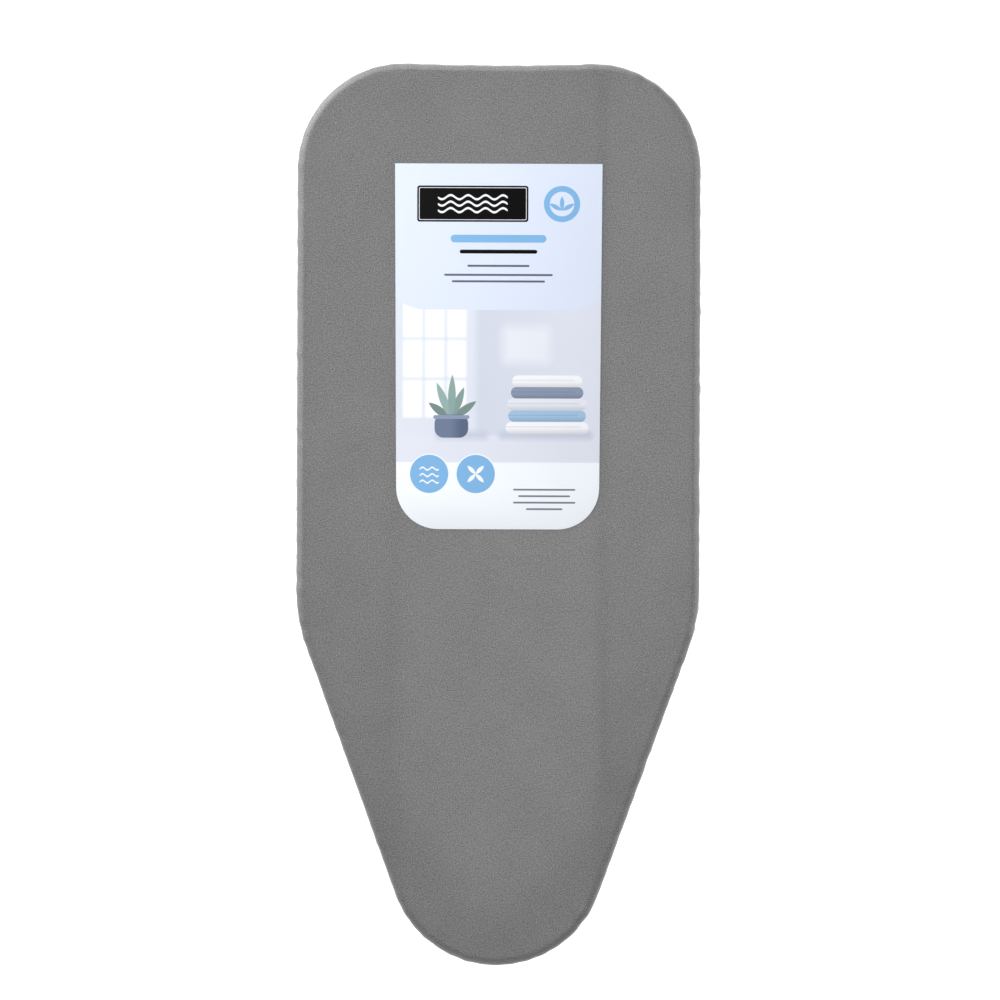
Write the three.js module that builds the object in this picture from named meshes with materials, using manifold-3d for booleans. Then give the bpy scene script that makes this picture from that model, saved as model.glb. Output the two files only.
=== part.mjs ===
// Tabletop ironing board: a padded cloth cover on a steel frame, with two folding bent-tube legs.
// Millimetres. X runs across the board, +Y towards the square tail, +Z up from the table top.
import * as THREE from "three";
import { mergeVertices } from "three/addons/utils/BufferGeometryUtils.js";
import Module from "manifold-3d";

const wasm = await Module();
wasm.setup();

// Outline of the covered board, seen from above
const boardLength = 700;
const boardWidth = 313;
const tailCornerRadius = 83;
const tailHollow = 1.5;
const noseRadius = 84;
const kneeRadius = 131;
const taperAngle = THREE.MathUtils.degToRad(20);

// Height of the ironing surface above the table
const surfaceHeight = 140;

// Clearances
const seatGap = 0.3;
const rimSideGap = 0.9;
const cutOverrun = 3;
const weldTolerance = 0.001;

// Cloth cover with the elastic casing in its hem
const coverThickness = 1;
const coverEdgeRadius = 6;
const hemWidth = 32;
const elasticWidth = 6;
const elasticThickness = 1;
const threadingGap = 24;

// Felt pad
const padThickness = 6;
const padEdgeGap = 2;
const padEdgeRound = 5;
const padEdgeDepth = 2.7;

// Steel mesh deck
const deckThickness = 0.8;
const deckInset = 5;
const meshPitchX = 34;
const meshPitchY = 58;
const meshStrand = 3;
const meshBorder = 9;

// Rim tube and lengthwise rails
const rimDiameter = 12;
const rimWall = 0.8;
const rimButtGap = 0.4;
const railSpacing = 160;
const railWidth = 10;
const railWall = 1;
const railEndGap = 1.2;

// Cross rods between the rails
const crossRodDiameter = 8;
const crossRodLift = 1;
const crossRodReach = 36;

// Folding legs
const legDiameter = 13;
const legWall = 1.1;
const legSplay = THREE.MathUtils.degToRad(18);
const legEnd = 6;
const legSwingGap = 0.9;
const legFlare = 18;
const legFlareStart = 27;
const legFlareRadius = 30;
const legBendRadius = 24;
const rearPivotInset = 180;
const frontPivotInset = 220;

// Rubber foot sleeves
const footLength = 34;
const footWall = 2.5;
const footSole = 2.2;
const footSoleWidth = 16;
const footInset = 44;

// Pressed leg brackets
const bracketSheet = 1.5;
const bracketLength = 44;
const bracketRadius = 11;
const bracketSkirt = 3;
const bracketArcStart = THREE.MathUtils.degToRad(200);
const bracketArcEnd = THREE.MathUtils.degToRad(290);
const stopStart = 8;
const stopEnd = 20;

// Pivot rivets, washers and bracket rivets
const pivotRivetRadius = 3;
const pivotHeadRadius = 5.5;
const pivotHeadHeight = 1.6;
const washerRadius = 6.5;
const washerThickness = 1;
const mountRivetRadius = 2;
const mountHeadRadius = 3.6;
const mountHeadHeight = 1.4;
const mountRivetSpacing = 32;

// Retail card lying on the cover
const cardTopWidth = 160.5;
const cardWidth = 157;
const cardLength = 282.7;
const cardCornerRadius = 32.5;
const cardThickness = 0.6;
const cardTailInset = 78.8;
const cardOffsetX = -0.3;

// How finely curves are divided
const outlineDivisions = 5;
const bevelDivisions = 2;
const arcDivisions = 4;
const roundSides = 12;
const legSides = 10;
const rimSides = 8;
const boreSides = 6;
const rimSteps = 72;
const legSteps = 46;

// Heights of the stacked layers, from the ironing surface down
const padTop = surfaceHeight - coverThickness - seatGap;
const deckTop = padTop - padThickness - seatGap;
const frameTop = deckTop - deckThickness - seatGap;
const frameBottom = frameTop - rimDiameter;
const hemTop = frameBottom - seatGap;
const coverBottom = hemTop - coverThickness;
const bracketTop = frameBottom - seatGap;

// Leg and bracket sizes that follow from the pieces they fit
const rimRadius = rimDiameter / 2;
const rimInset = coverThickness + rimSideGap + rimRadius;
const legRadius = legDiameter / 2;
const railX = railSpacing / 2;
const rearPivotY = boardLength / 2 - rearPivotInset;
const frontPivotY = frontPivotInset - boardLength / 2;
const pivotHeight = bracketTop - bracketSheet - legSwingGap - Math.hypot(legEnd, legRadius);
const footBarHeight = legRadius + seatGap + footSole;
const legReach = (pivotHeight - footBarHeight) / Math.cos(legSplay);
const bracketInnerWidth = legDiameter + 2 * (washerThickness + 2 * seatGap);
const bracketWidth = bracketInnerWidth + 2 * bracketSheet;
const stopOffset = legRadius + seatGap;

// Materials
const greyCloth = { color: 0x808182, roughness: 0.9, metalness: 0 };
const paleFelt = { color: 0xd9d6cf, roughness: 0.95, metalness: 0 };
const paintedSteel = { color: 0xd4d6d8, roughness: 0.45, metalness: 0.1 };
const bareSteel = { color: 0xb4b6b8, roughness: 0.35, metalness: 0.9 };
const blackRubber = { color: 0x2b2b2d, roughness: 0.8, metalness: 0 };
const whiteNylon = { color: 0xe8e8e4, roughness: 0.5, metalness: 0 };
const whiteElastic = { color: 0xe4e2dc, roughness: 0.9, metalness: 0 };
const paleCard = { color: 0xe4e7f0, roughness: 0.55, metalness: 0 };

// Welds a geometry's corners and makes it a solid that can be joined or cut
function solidOf(geometry) {
  const bare = geometry.clone();
  bare.deleteAttribute("normal");
  bare.deleteAttribute("uv");
  const welded = mergeVertices(bare, weldTolerance);
  const vertProperties = new Float32Array(welded.attributes.position.array);
  const triVerts = new Uint32Array(welded.index.array);
  return new wasm.Manifold(new wasm.Mesh({ numProp: 3, vertProperties, triVerts }));
}

function geometryOf(solid) {
  const mesh = solid.getMesh();
  const geometry = new THREE.BufferGeometry();
  geometry.setAttribute("position", new THREE.BufferAttribute(mesh.vertProperties, 3));
  geometry.setIndex(new THREE.BufferAttribute(mesh.triVerts, 1));
  geometry.computeVertexNormals();
  return geometry;
}

function named(name, geometry, finish) {
  const mesh = new THREE.Mesh(geometry, new THREE.MeshStandardMaterial(finish));
  mesh.name = name;
  return mesh;
}

// Radius of a many-sided bore whose flats stay one gap clear of a round piece
function clearBore(radius) {
  return (radius + seatGap) / Math.cos(Math.PI / roundSides);
}

// Board outline drawn in from the cover's edge, from the tail's middle round by the left side
function boardShape(inset) {
  const cornerX = boardWidth / 2 - tailCornerRadius;
  const cornerY = boardLength / 2 - tailCornerRadius;
  const noseY = noseRadius - boardLength / 2;
  const kneeX = boardWidth / 2 - kneeRadius;
  const kneeRise = (kneeX * Math.cos(taperAngle) + kneeRadius - noseRadius) / Math.sin(taperAngle);
  const kneeY = noseY + kneeRise;
  const tailY = boardLength / 2 - inset;
  const tailMiddleY = tailY - tailHollow;
  const quarter = Math.PI / 2;
  const shape = new THREE.Shape();
  shape.moveTo(0, tailMiddleY);
  shape.quadraticCurveTo(-cornerX / 2, tailMiddleY, -cornerX, tailY);
  shape.absarc(-cornerX, cornerY, tailCornerRadius - inset, quarter, 2 * quarter);
  shape.absarc(-kneeX, kneeY, kneeRadius - inset, 2 * quarter, 2 * quarter + taperAngle);
  shape.absarc(0, noseY, noseRadius - inset, 2 * quarter + taperAngle, 4 * quarter - taperAngle);
  shape.absarc(kneeX, kneeY, kneeRadius - inset, -taperAngle, 0);
  shape.absarc(cornerX, cornerY, tailCornerRadius - inset, 0, quarter);
  shape.quadraticCurveTo(cornerX / 2, tailMiddleY, 0, tailMiddleY);
  return shape;
}

// Corners of that outline, with points that fall together left out
function boardPoints(inset) {
  const kept = [];
  for (const point of boardShape(inset).getPoints(outlineDivisions)) {
    if (kept.every((other) => other.distanceTo(point) > weldTolerance)) {
      kept.push(point);
    }
  }
  return kept;
}

// Prism on the board's outline between two heights
function boardPrism(inset, bottom, top) {
  const shape = new THREE.Shape(boardPoints(inset));
  const geometry = new THREE.ExtrudeGeometry(shape, { depth: top - bottom, bevelEnabled: false });
  return geometry.translate(0, 0, bottom);
}

// Prism on the board's outline with rounded upper and lower edges
function roundedBoardPrism(inset, bottom, top, round, depth) {
  const shape = new THREE.Shape(boardPoints(inset));
  const geometry = new THREE.ExtrudeGeometry(shape, {
    depth: top - bottom - 2 * depth,
    bevelSize: round,
    bevelOffset: -round,
    bevelThickness: depth,
    bevelSegments: bevelDivisions,
  });
  return geometry.translate(0, 0, bottom + depth);
}

// Flat band that follows the outline between two insets
function boardBand(outerInset, innerInset, bottom, top) {
  const shape = new THREE.Shape(boardPoints(outerInset));
  shape.holes.push(new THREE.Path(boardPoints(innerInset)));
  const geometry = new THREE.ExtrudeGeometry(shape, { depth: top - bottom, bevelEnabled: false });
  return geometry.translate(0, 0, bottom);
}

// Extrusion along X of a shape drawn in Y and Z
function acrossExtrusion(shape, length) {
  const geometry = new THREE.ExtrudeGeometry(shape, {
    depth: length,
    bevelEnabled: false,
    curveSegments: arcDivisions,
  });
  const turn = new THREE.Matrix4().makeBasis(
    new THREE.Vector3(0, 1, 0),
    new THREE.Vector3(0, 0, 1),
    new THREE.Vector3(1, 0, 0),
  );
  return geometry.translate(0, 0, -length / 2).applyMatrix4(turn);
}

function rodAcross(radius, length) {
  return new THREE.CylinderGeometry(radius, radius, length, roundSides).rotateZ(Math.PI / 2);
}

function rodUp(radius, length) {
  return new THREE.CylinderGeometry(radius, radius, length, roundSides).rotateX(Math.PI / 2);
}

// Ring-shaped section of a tube
function tubeSection(outerRadius, wall, sides) {
  const section = new THREE.Shape(circlePoints(outerRadius, sides));
  section.holes.push(new THREE.Path(circlePoints(outerRadius - wall, boreSides)));
  return section;
}

function circlePoints(radius, sides) {
  const points = [];
  for (let side = 0; side < sides; side += 1) {
    const angle = (side / sides) * 2 * Math.PI;
    points.push(new THREE.Vector2(radius * Math.cos(angle), radius * Math.sin(angle)));
  }
  return points;
}

// Straight runs joined by bends: each corner is a point with its own bend radius
function bentPath(corners) {
  const path = new THREE.CurvePath();
  let from = corners[0].point;
  for (let i = 1; i < corners.length - 1; i += 1) {
    const corner = corners[i].point;
    const back = corners[i - 1].point.clone().sub(corner).normalize();
    const ahead = corners[i + 1].point.clone().sub(corner).normalize();
    const tangent = corners[i].radius / Math.tan(back.angleTo(ahead) / 2);
    const start = corner.clone().addScaledVector(back, tangent);
    const end = corner.clone().addScaledVector(ahead, tangent);
    path.add(new THREE.LineCurve3(from, start));
    path.add(new THREE.QuadraticBezierCurve3(start, corner, end));
    from = end;
  }
  path.add(new THREE.LineCurve3(from, corners[corners.length - 1].point));
  return path;
}

// Cover: a skin over the pad, round the rim and back under it, with an elastic casing at the hem
function makeCover() {
  const innerRadius = coverEdgeRadius - coverThickness;
  const innerTop = surfaceHeight - coverThickness;
  const wallPair = 2 * coverThickness;
  const casingWidth = elasticWidth + 2 * seatGap + wallPair;
  const channelHeight = elasticThickness + 2 * seatGap;
  const channelBottom = coverBottom - channelHeight;
  const casingBottom = channelBottom - coverThickness;
  const channelOuter = hemWidth - casingWidth + coverThickness;
  const channelInner = hemWidth - coverThickness;
  const outside = solidOf(
    roundedBoardPrism(0, coverBottom, surfaceHeight, coverEdgeRadius, coverEdgeRadius),
  );
  const inside = solidOf(
    roundedBoardPrism(coverThickness, hemTop, innerTop, innerRadius, innerRadius),
  );
  const mouth = solidOf(boardPrism(hemWidth, casingBottom - cutOverrun, hemTop + cutOverrun));
  const casing = solidOf(
    boardBand(hemWidth - casingWidth, hemWidth, casingBottom, hemTop - coverThickness / 2),
  );
  const channel = solidOf(boardBand(channelOuter, channelInner, channelBottom, coverBottom));
  const gapDepth = channelInner - channelOuter;
  const gapHeight = coverBottom - casingBottom + cutOverrun;
  const gap = new THREE.BoxGeometry(threadingGap, gapDepth, gapHeight);
  gap.translate(
    0,
    boardLength / 2 - tailHollow - (channelOuter + channelInner) / 2,
    coverBottom - gapHeight / 2,
  );
  const shell = outside.subtract(inside).subtract(mouth);
  const cloth = shell.add(casing).subtract(channel).subtract(solidOf(gap));
  return named("cover", geometryOf(cloth), greyCloth);
}

// Flat elastic loop inside the casing
function makeElastic() {
  const innerInset = hemWidth - coverThickness - seatGap;
  const top = coverBottom - seatGap;
  const band = boardBand(innerInset - elasticWidth, innerInset, top - elasticThickness, top);
  return named("hem_elastic", band, whiteElastic);
}

function makePad() {
  const inset = coverThickness + padEdgeGap;
  const bottom = padTop - padThickness;
  const slab = roundedBoardPrism(inset, bottom, padTop, padEdgeRound, padEdgeDepth);
  return named("felt_pad", slab, paleFelt);
}

function isInside(outline, point) {
  return outline.every((corner, i) => {
    const next = outline[(i + 1) % outline.length];
    const edge = next.clone().sub(corner);
    return edge.cross(point.clone().sub(corner)) > 0;
  });
}

// Corners of one diamond opening round a centre
function diamondPoints(centreX, centreY) {
  const halfX = meshPitchX / 2;
  const halfY = meshPitchY / 2;
  const reach = (halfX * halfY) / Math.hypot(halfX, halfY);
  const openShare = 1 - meshStrand / 2 / reach;
  return [
    new THREE.Vector2(centreX + halfX * openShare, centreY),
    new THREE.Vector2(centreX, centreY + halfY * openShare),
    new THREE.Vector2(centreX - halfX * openShare, centreY),
    new THREE.Vector2(centreX, centreY - halfY * openShare),
  ];
}

// Expanded-steel deck: staggered rows of diamonds inside a plain border
function makeDeck() {
  const sheet = new THREE.Shape(boardPoints(deckInset));
  const border = boardPoints(deckInset + meshBorder);
  const rows = Math.ceil(boardLength / meshPitchY);
  const columns = Math.ceil(boardWidth / meshPitchX);
  for (let row = -rows; row <= rows; row += 1) {
    const stagger = row % 2 === 0 ? 0 : meshPitchX / 2;
    for (let column = -columns; column <= columns; column += 1) {
      const centreX = column * meshPitchX + stagger;
      const corners = diamondPoints(centreX, (row * meshPitchY) / 2);
      if (corners.every((corner) => isInside(border, corner))) {
        sheet.holes.push(new THREE.Path(corners));
      }
    }
  }
  const plate = new THREE.ExtrudeGeometry(sheet, { depth: deckThickness, bevelEnabled: false });
  const deck = named("mesh_deck", plate, paintedSteel);
  deck.position.z = deckTop - deckThickness;
  return deck;
}

// Centre line of the rim tube, with its two ends butted at the tail's middle
class RimLine extends THREE.Curve {
  constructor(outline, buttShare) {
    super();
    this.outline = outline;
    this.buttShare = buttShare;
  }

  getPoint(t, target = new THREE.Vector3()) {
    const along = this.buttShare + t * (1 - 2 * this.buttShare);
    const point = this.outline.getPoint(along);
    return target.set(point.x, point.y, 0);
  }
}

function makeRim() {
  const outline = boardShape(rimInset);
  const buttShare = rimButtGap / 2 / outline.getLength();
  const tube = new THREE.ExtrudeGeometry(tubeSection(rimRadius, rimWall, rimSides), {
    steps: rimSteps,
    extrudePath: new RimLine(outline, buttShare),
  });
  const rim = named("rim_tube", tube, paintedSteel);
  rim.position.z = frameTop - rimRadius;
  return rim;
}

// Places of the rivets that hold the brackets to one rail
function mountRivetPlaces() {
  const places = [];
  for (const pivotY of [rearPivotY, frontPivotY]) {
    for (const side of [-1, 1]) {
      places.push(pivotY + (side * mountRivetSpacing) / 2);
    }
  }
  return places;
}

// Rectangular tube under the deck, cut to the rim's curve at both ends and drilled for its rivets
function makeRail(name, side) {
  const section = new THREE.Shape(rectanglePoints(railWidth, rimDiameter));
  section.holes.push(
    new THREE.Path(rectanglePoints(railWidth - 2 * railWall, rimDiameter - 2 * railWall)),
  );
  const bar = new THREE.ExtrudeGeometry(section, { depth: boardLength, bevelEnabled: false });
  bar.translate(0, 0, -boardLength / 2).rotateX(Math.PI / 2);
  bar.translate(side * railX, 0, frameTop - rimRadius);
  const room = boardPrism(
    rimInset + rimRadius + railEndGap,
    frameBottom - cutOverrun,
    frameTop + cutOverrun,
  );
  let rail = solidOf(bar).intersect(solidOf(room));
  for (const placeY of mountRivetPlaces()) {
    const hole = rodUp(clearBore(mountRivetRadius), 2 * railWall + cutOverrun);
    rail = rail.subtract(solidOf(hole.translate(side * railX, placeY, frameBottom)));
  }
  return named(name, geometryOf(rail), paintedSteel);
}

function rectanglePoints(width, height) {
  return [
    new THREE.Vector2(-width / 2, -height / 2),
    new THREE.Vector2(width / 2, -height / 2),
    new THREE.Vector2(width / 2, height / 2),
    new THREE.Vector2(-width / 2, height / 2),
  ];
}

function makeCrossRod(name, placeY) {
  const length = railSpacing - railWidth - 2 * seatGap;
  const rod = named(name, rodAcross(crossRodDiameter / 2, length), paintedSteel);
  rod.position.set(0, placeY, frameBottom + crossRodLift + crossRodDiameter / 2);
  return rod;
}

// Point in a bracket's side view, counted down the standing leg and outward from its axis
function besideLeg(along, outward) {
  return new THREE.Vector2(
    along * Math.sin(legSplay) + outward * Math.cos(legSplay),
    outward * Math.sin(legSplay) - along * Math.cos(legSplay),
  );
}

// Side view of a bracket's cheek round its pivot, with +x towards the board's nearer end
function cheekShape() {
  const top = bracketTop - pivotHeight;
  const half = bracketLength / 2;
  const stopInner = besideLeg(stopEnd, stopOffset);
  const stopOuter = besideLeg(stopEnd, stopOffset + bracketSheet);
  const shape = new THREE.Shape();
  shape.moveTo(-half, top);
  shape.lineTo(-half, top - bracketSkirt);
  shape.absarc(0, 0, bracketRadius, bracketArcStart, bracketArcEnd);
  shape.lineTo(stopInner.x, stopInner.y);
  shape.lineTo(stopOuter.x, stopOuter.y);
  shape.lineTo(half, top - bracketSkirt);
  shape.lineTo(half, top);
  return shape;
}

// Cross wall that the standing leg leans on
function stopShape() {
  return new THREE.Shape([
    besideLeg(stopStart, stopOffset),
    besideLeg(stopEnd, stopOffset),
    besideLeg(stopEnd, stopOffset + bracketSheet),
    besideLeg(stopStart, stopOffset + bracketSheet),
  ]);
}

// Pressed bracket: two cheeks, the plate under the rail and the stop wall
function bracketGeometry() {
  const cheekX = (bracketInnerWidth + bracketSheet) / 2;
  const plate = new THREE.BoxGeometry(bracketWidth - bracketSheet, bracketLength, bracketSheet);
  plate.translate(0, 0, bracketTop - pivotHeight - bracketSheet / 2);
  let bracket = solidOf(plate);
  bracket = bracket.add(solidOf(acrossExtrusion(stopShape(), bracketWidth - bracketSheet)));
  for (const side of [-1, 1]) {
    const cheek = acrossExtrusion(cheekShape(), bracketSheet);
    bracket = bracket.add(solidOf(cheek.translate(side * cheekX, 0, 0)));
  }
  bracket = bracket.subtract(
    solidOf(rodAcross(clearBore(pivotRivetRadius), bracketWidth + 2 * cutOverrun)),
  );
  for (const side of [-1, 1]) {
    const hole = rodUp(clearBore(mountRivetRadius), bracketSheet + 2 * cutOverrun);
    hole.translate(0, (side * mountRivetSpacing) / 2, bracketTop - pivotHeight);
    bracket = bracket.subtract(solidOf(hole));
  }
  return geometryOf(bracket);
}

// Pivot rivet: a shank through both cheeks with a head on each side
function pivotRivetGeometry() {
  const shank = bracketWidth / 2 + seatGap;
  const end = shank + pivotHeadHeight;
  const profile = [
    new THREE.Vector2(0, -end),
    new THREE.Vector2(pivotHeadRadius, -end),
    new THREE.Vector2(pivotHeadRadius, -shank),
    new THREE.Vector2(pivotRivetRadius, -shank),
    new THREE.Vector2(pivotRivetRadius, shank),
    new THREE.Vector2(pivotHeadRadius, shank),
    new THREE.Vector2(pivotHeadRadius, end),
    new THREE.Vector2(0, end),
  ];
  return new THREE.LatheGeometry(profile, roundSides).rotateZ(Math.PI / 2);
}

function washerGeometry() {
  const disc = new THREE.Shape(circlePoints(washerRadius, roundSides));
  disc.holes.push(new THREE.Path(circlePoints(clearBore(pivotRivetRadius), roundSides)));
  return acrossExtrusion(disc, washerThickness);
}

// Blind rivet: its head under the bracket's plate and its formed end inside the rail
function mountRivetGeometry() {
  const headTop = -bracketSheet - seatGap;
  const bulbBottom = seatGap + railWall + seatGap;
  const profile = [
    new THREE.Vector2(0, headTop - mountHeadHeight),
    new THREE.Vector2(mountHeadRadius, headTop - mountHeadHeight),
    new THREE.Vector2(mountHeadRadius, headTop),
    new THREE.Vector2(mountRivetRadius, headTop),
    new THREE.Vector2(mountRivetRadius, bulbBottom),
    new THREE.Vector2(mountHeadRadius, bulbBottom),
    new THREE.Vector2(mountRivetRadius, bulbBottom + mountHeadHeight),
    new THREE.Vector2(0, bulbBottom + mountHeadHeight),
  ];
  return new THREE.LatheGeometry(profile, roundSides).rotateX(Math.PI / 2);
}

// One bracket with its rivets and washers, drawn at its pivot
function makeBracket(name, railSide) {
  const group = new THREE.Group();
  group.add(named(`${name}_bracket`, bracketGeometry(), paintedSteel));
  group.add(named(`${name}_pivot_rivet`, pivotRivetGeometry(), bareSteel));
  for (const [label, side] of [["outer", railSide], ["inner", -railSide]]) {
    const washer = named(`${name}_${label}_washer`, washerGeometry(), whiteNylon);
    washer.position.x = side * (legRadius + seatGap + washerThickness / 2);
    group.add(washer);
  }
  for (const [label, side] of [["end", 1], ["middle", -1]]) {
    const rivet = named(`${name}_${label}_rivet`, mountRivetGeometry(), bareSteel);
    rivet.position.set(0, (side * mountRivetSpacing) / 2, bracketTop - pivotHeight);
    group.add(rivet);
  }
  group.position.x = railSide * railX;
  return group;
}

// Bent tube leg in its own plane, hanging from its pivots
function legGeometry() {
  const outX = railX + legFlare;
  const corners = [
    { point: new THREE.Vector3(-railX, 0, legEnd) },
    { point: new THREE.Vector3(-railX, 0, -legFlareStart), radius: legFlareRadius },
    { point: new THREE.Vector3(-outX, 0, -legReach), radius: legBendRadius },
    { point: new THREE.Vector3(outX, 0, -legReach), radius: legBendRadius },
    { point: new THREE.Vector3(railX, 0, -legFlareStart), radius: legFlareRadius },
    { point: new THREE.Vector3(railX, 0, legEnd) },
  ];
  const tube = new THREE.ExtrudeGeometry(tubeSection(legRadius, legWall, legSides), {
    steps: legSteps,
    extrudePath: bentPath(corners),
  });
  let leg = solidOf(tube);
  for (const side of [-1, 1]) {
    const hole = rodAcross(clearBore(pivotRivetRadius), legDiameter + 2 * cutOverrun);
    leg = leg.subtract(solidOf(hole.translate(side * railX, 0, 0)));
  }
  return geometryOf(leg);
}

// Rubber sleeve round the floor bar, with a flat sole
function footGeometry() {
  const outerRadius = legRadius + seatGap + footWall;
  const soleHalf = footSoleWidth / 2;
  const soleRise = Math.acos(soleHalf / outerRadius);
  const section = new THREE.Shape();
  section.moveTo(-soleHalf, -footBarHeight);
  section.lineTo(soleHalf, -footBarHeight);
  section.absarc(0, 0, outerRadius, -soleRise, Math.PI + soleRise);
  section.holes.push(new THREE.Path(circlePoints(clearBore(legRadius), roundSides)));
  return acrossExtrusion(section, footLength);
}

// Side of the whole board, -X being the left, for a side within a set that faces one end
function sideName(side, facing) {
  return side * facing < 0 ? "left" : "right";
}

// A leg with its two feet, splayed from the pivot line
function makeLeg(name, facing) {
  const group = new THREE.Group();
  group.add(named(`${name}_leg`, legGeometry(), paintedSteel));
  for (const side of [-1, 1]) {
    const foot = named(`${name}_${sideName(side, facing)}_foot`, footGeometry(), blackRubber);
    foot.position.set(side * (railX + legFlare - footInset), 0, -legReach);
    foot.rotation.x = -legSplay;
    group.add(foot);
  }
  group.rotation.x = legSplay;
  return group;
}

// Leg, brackets and pivots facing the tail (1) or the nose (-1)
function makeLegSet(name, pivotY, facing) {
  const group = new THREE.Group();
  for (const side of [-1, 1]) {
    group.add(makeBracket(`${name}_${sideName(side, facing)}`, side));
  }
  group.add(makeLeg(name, facing));
  group.position.set(0, pivotY, pivotHeight);
  group.rotation.z = facing > 0 ? 0 : Math.PI;
  return group;
}

// Card with square top corners, sides that draw in a little towards the nose and round bottom corners
function makeCard() {
  const half = cardWidth / 2;
  const cornerX = half - cardCornerRadius;
  const cornerY = cardCornerRadius - cardLength;
  const shape = new THREE.Shape();
  shape.moveTo(cardTopWidth / 2, 0);
  shape.lineTo(-cardTopWidth / 2, 0);
  shape.absarc(-cornerX, cornerY, cardCornerRadius, Math.PI, 1.5 * Math.PI);
  shape.absarc(cornerX, cornerY, cardCornerRadius, -Math.PI / 2, 0);
  const sheet = new THREE.ExtrudeGeometry(shape, { depth: cardThickness, bevelEnabled: false });
  const card = named("retail_card", sheet, paleCard);
  card.position.set(cardOffsetX, boardLength / 2 - cardTailInset, surfaceHeight + seatGap);
  return card;
}

const board = new THREE.Group();
board.add(makeCover());
board.add(makeElastic());
board.add(makePad());
board.add(makeDeck());
board.add(makeRim());
board.add(makeRail("left_rail", -1));
board.add(makeRail("right_rail", 1));
board.add(makeCrossRod("rear_cross_rod", rearPivotY + crossRodReach));
board.add(makeCrossRod("middle_cross_rod", (rearPivotY + frontPivotY) / 2));
board.add(makeCrossRod("front_cross_rod", frontPivotY - crossRodReach));
board.add(makeLegSet("rear", rearPivotY, 1));
board.add(makeLegSet("front", frontPivotY, -1));
board.add(makeCard());

export default board;
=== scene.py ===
"""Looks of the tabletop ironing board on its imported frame. Metres, +Y towards the tail, +Z up."""

import math

import bmesh
import bpy
import numpy as np
from mathutils import Matrix, Vector
from mathutils.geometry import delaunay_2d_cdt


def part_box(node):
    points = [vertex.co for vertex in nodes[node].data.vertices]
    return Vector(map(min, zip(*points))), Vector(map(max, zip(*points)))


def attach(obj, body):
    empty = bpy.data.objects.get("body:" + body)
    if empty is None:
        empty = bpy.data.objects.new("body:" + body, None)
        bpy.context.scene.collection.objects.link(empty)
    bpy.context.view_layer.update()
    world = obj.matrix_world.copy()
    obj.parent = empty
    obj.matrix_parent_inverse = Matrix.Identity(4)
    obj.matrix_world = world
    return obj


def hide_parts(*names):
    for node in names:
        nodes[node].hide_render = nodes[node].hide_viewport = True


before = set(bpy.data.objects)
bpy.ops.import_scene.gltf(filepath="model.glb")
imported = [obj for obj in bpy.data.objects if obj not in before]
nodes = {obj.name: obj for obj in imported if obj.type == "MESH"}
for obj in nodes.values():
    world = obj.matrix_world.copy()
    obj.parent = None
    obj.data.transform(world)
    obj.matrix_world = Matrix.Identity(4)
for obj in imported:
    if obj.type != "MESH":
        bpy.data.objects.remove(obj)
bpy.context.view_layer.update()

MM = 0.001
TURN = 2 * math.pi
QUARTER = TURN / 4

# Photograph: its scale, where the board's middle lies in it, and how far it is turned
photo_width_px = 1000
photo_scale = 0.7757 * MM
board_middle_px = (498, 514.4)
photo_roll = math.radians(0.21)
lens_mm = 100
sensor_mm = 36

# Stage: floor, world and lights, each light with its place, size, aim and power
floor_half = 30
floor_glow = 0.55
floor_tone = (0.9, 0.9, 0.9)
floor_layers = ((400, 2, (1, 1, 1), 0.02),)
world_strength = 0.3
board_aim = (0, 0, 0.1)
lights = {
    "overhead": ((0.12, -0.15, 3.2), (1.1, 2.4), (0.12, -0.15, 0), 19),
    "key": ((-3, 1.2, 2.2), (4, 3.4), board_aim, 104),
    "back": ((-0.8, 3.2, 2), (4, 3.2), board_aim, 94),
    "fill": ((3.2, 0.6, 2), (3, 3), board_aim, 48),
    "front": ((-0.6, -3.6, 1.4), (3, 2), board_aim, 16),
    "left_rim": ((-2.6, 2.2, 0.45), (2.6, 0.7), board_aim, 36),
    "right_rim": ((3.0, -0.9, 0.7), (2.6, 0.7), board_aim, 9),
}

# Meshes: edges sharper than these angles stay sharp, and lengths below a hair count as none
sharp_angle = math.radians(35)
cloth_sharp_angle = math.radians(70)
foot_sharp_angle = math.radians(50)
bevel_angle = math.radians(30)
bend_step = 1.5 * MM
hair = 1e-6
outline_hair = 1e-7
net_hair = 1e-9

# Board outline, as the frame has it
tail_corner_radius = 83 * MM
tail_hollow = 1.5 * MM
nose_radius = 84 * MM
knee_radius = 131 * MM
taper_angle = math.radians(20)
cover_low, cover_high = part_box("cover")
half_width = cover_high.x
half_length = cover_high.y
surface_z = cover_high.z
casing_z = cover_low.z
rail_x = (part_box("right_rail")[0].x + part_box("right_rail")[1].x) / 2
rim_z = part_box("rim_tube")[0].z
elastic_low, elastic_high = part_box("hem_elastic")
pad_low, pad_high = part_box("felt_pad")
deck_low, deck_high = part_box("mesh_deck")
seat_gap = 0.3 * MM
cover_wall = 1 * MM
flange_z = rim_z - seat_gap - cover_wall

# Cloth cover: edge, hem and casing, each with the shares or steps at which its profile has points
cloth_thickness = 0.9 * MM
edge_radius = 6 * MM
edge_run = 7 * MM
edge_fall = 7 * MM
edge_points = 11
turn_points = 7
border_shares = (1, 0.86, 0.73, 0.61)
hem_width = 32 * MM
flange_shares = (0.13, 0.27, 0.41, 0.55, 0.69, 0.83, 0.95)
casing_width = 8 * MM
casing_start = hem_width - casing_width
casing_lean = 1 * MM
casing_drop_shares = (0.35, 0.85)
casing_shares = (0.1, 0.35, 0.6, 0.85)
fold_points = 8
fold_shares = (0.7, 0.4, 0.12)
fold_lean = 2 * MM

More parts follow.
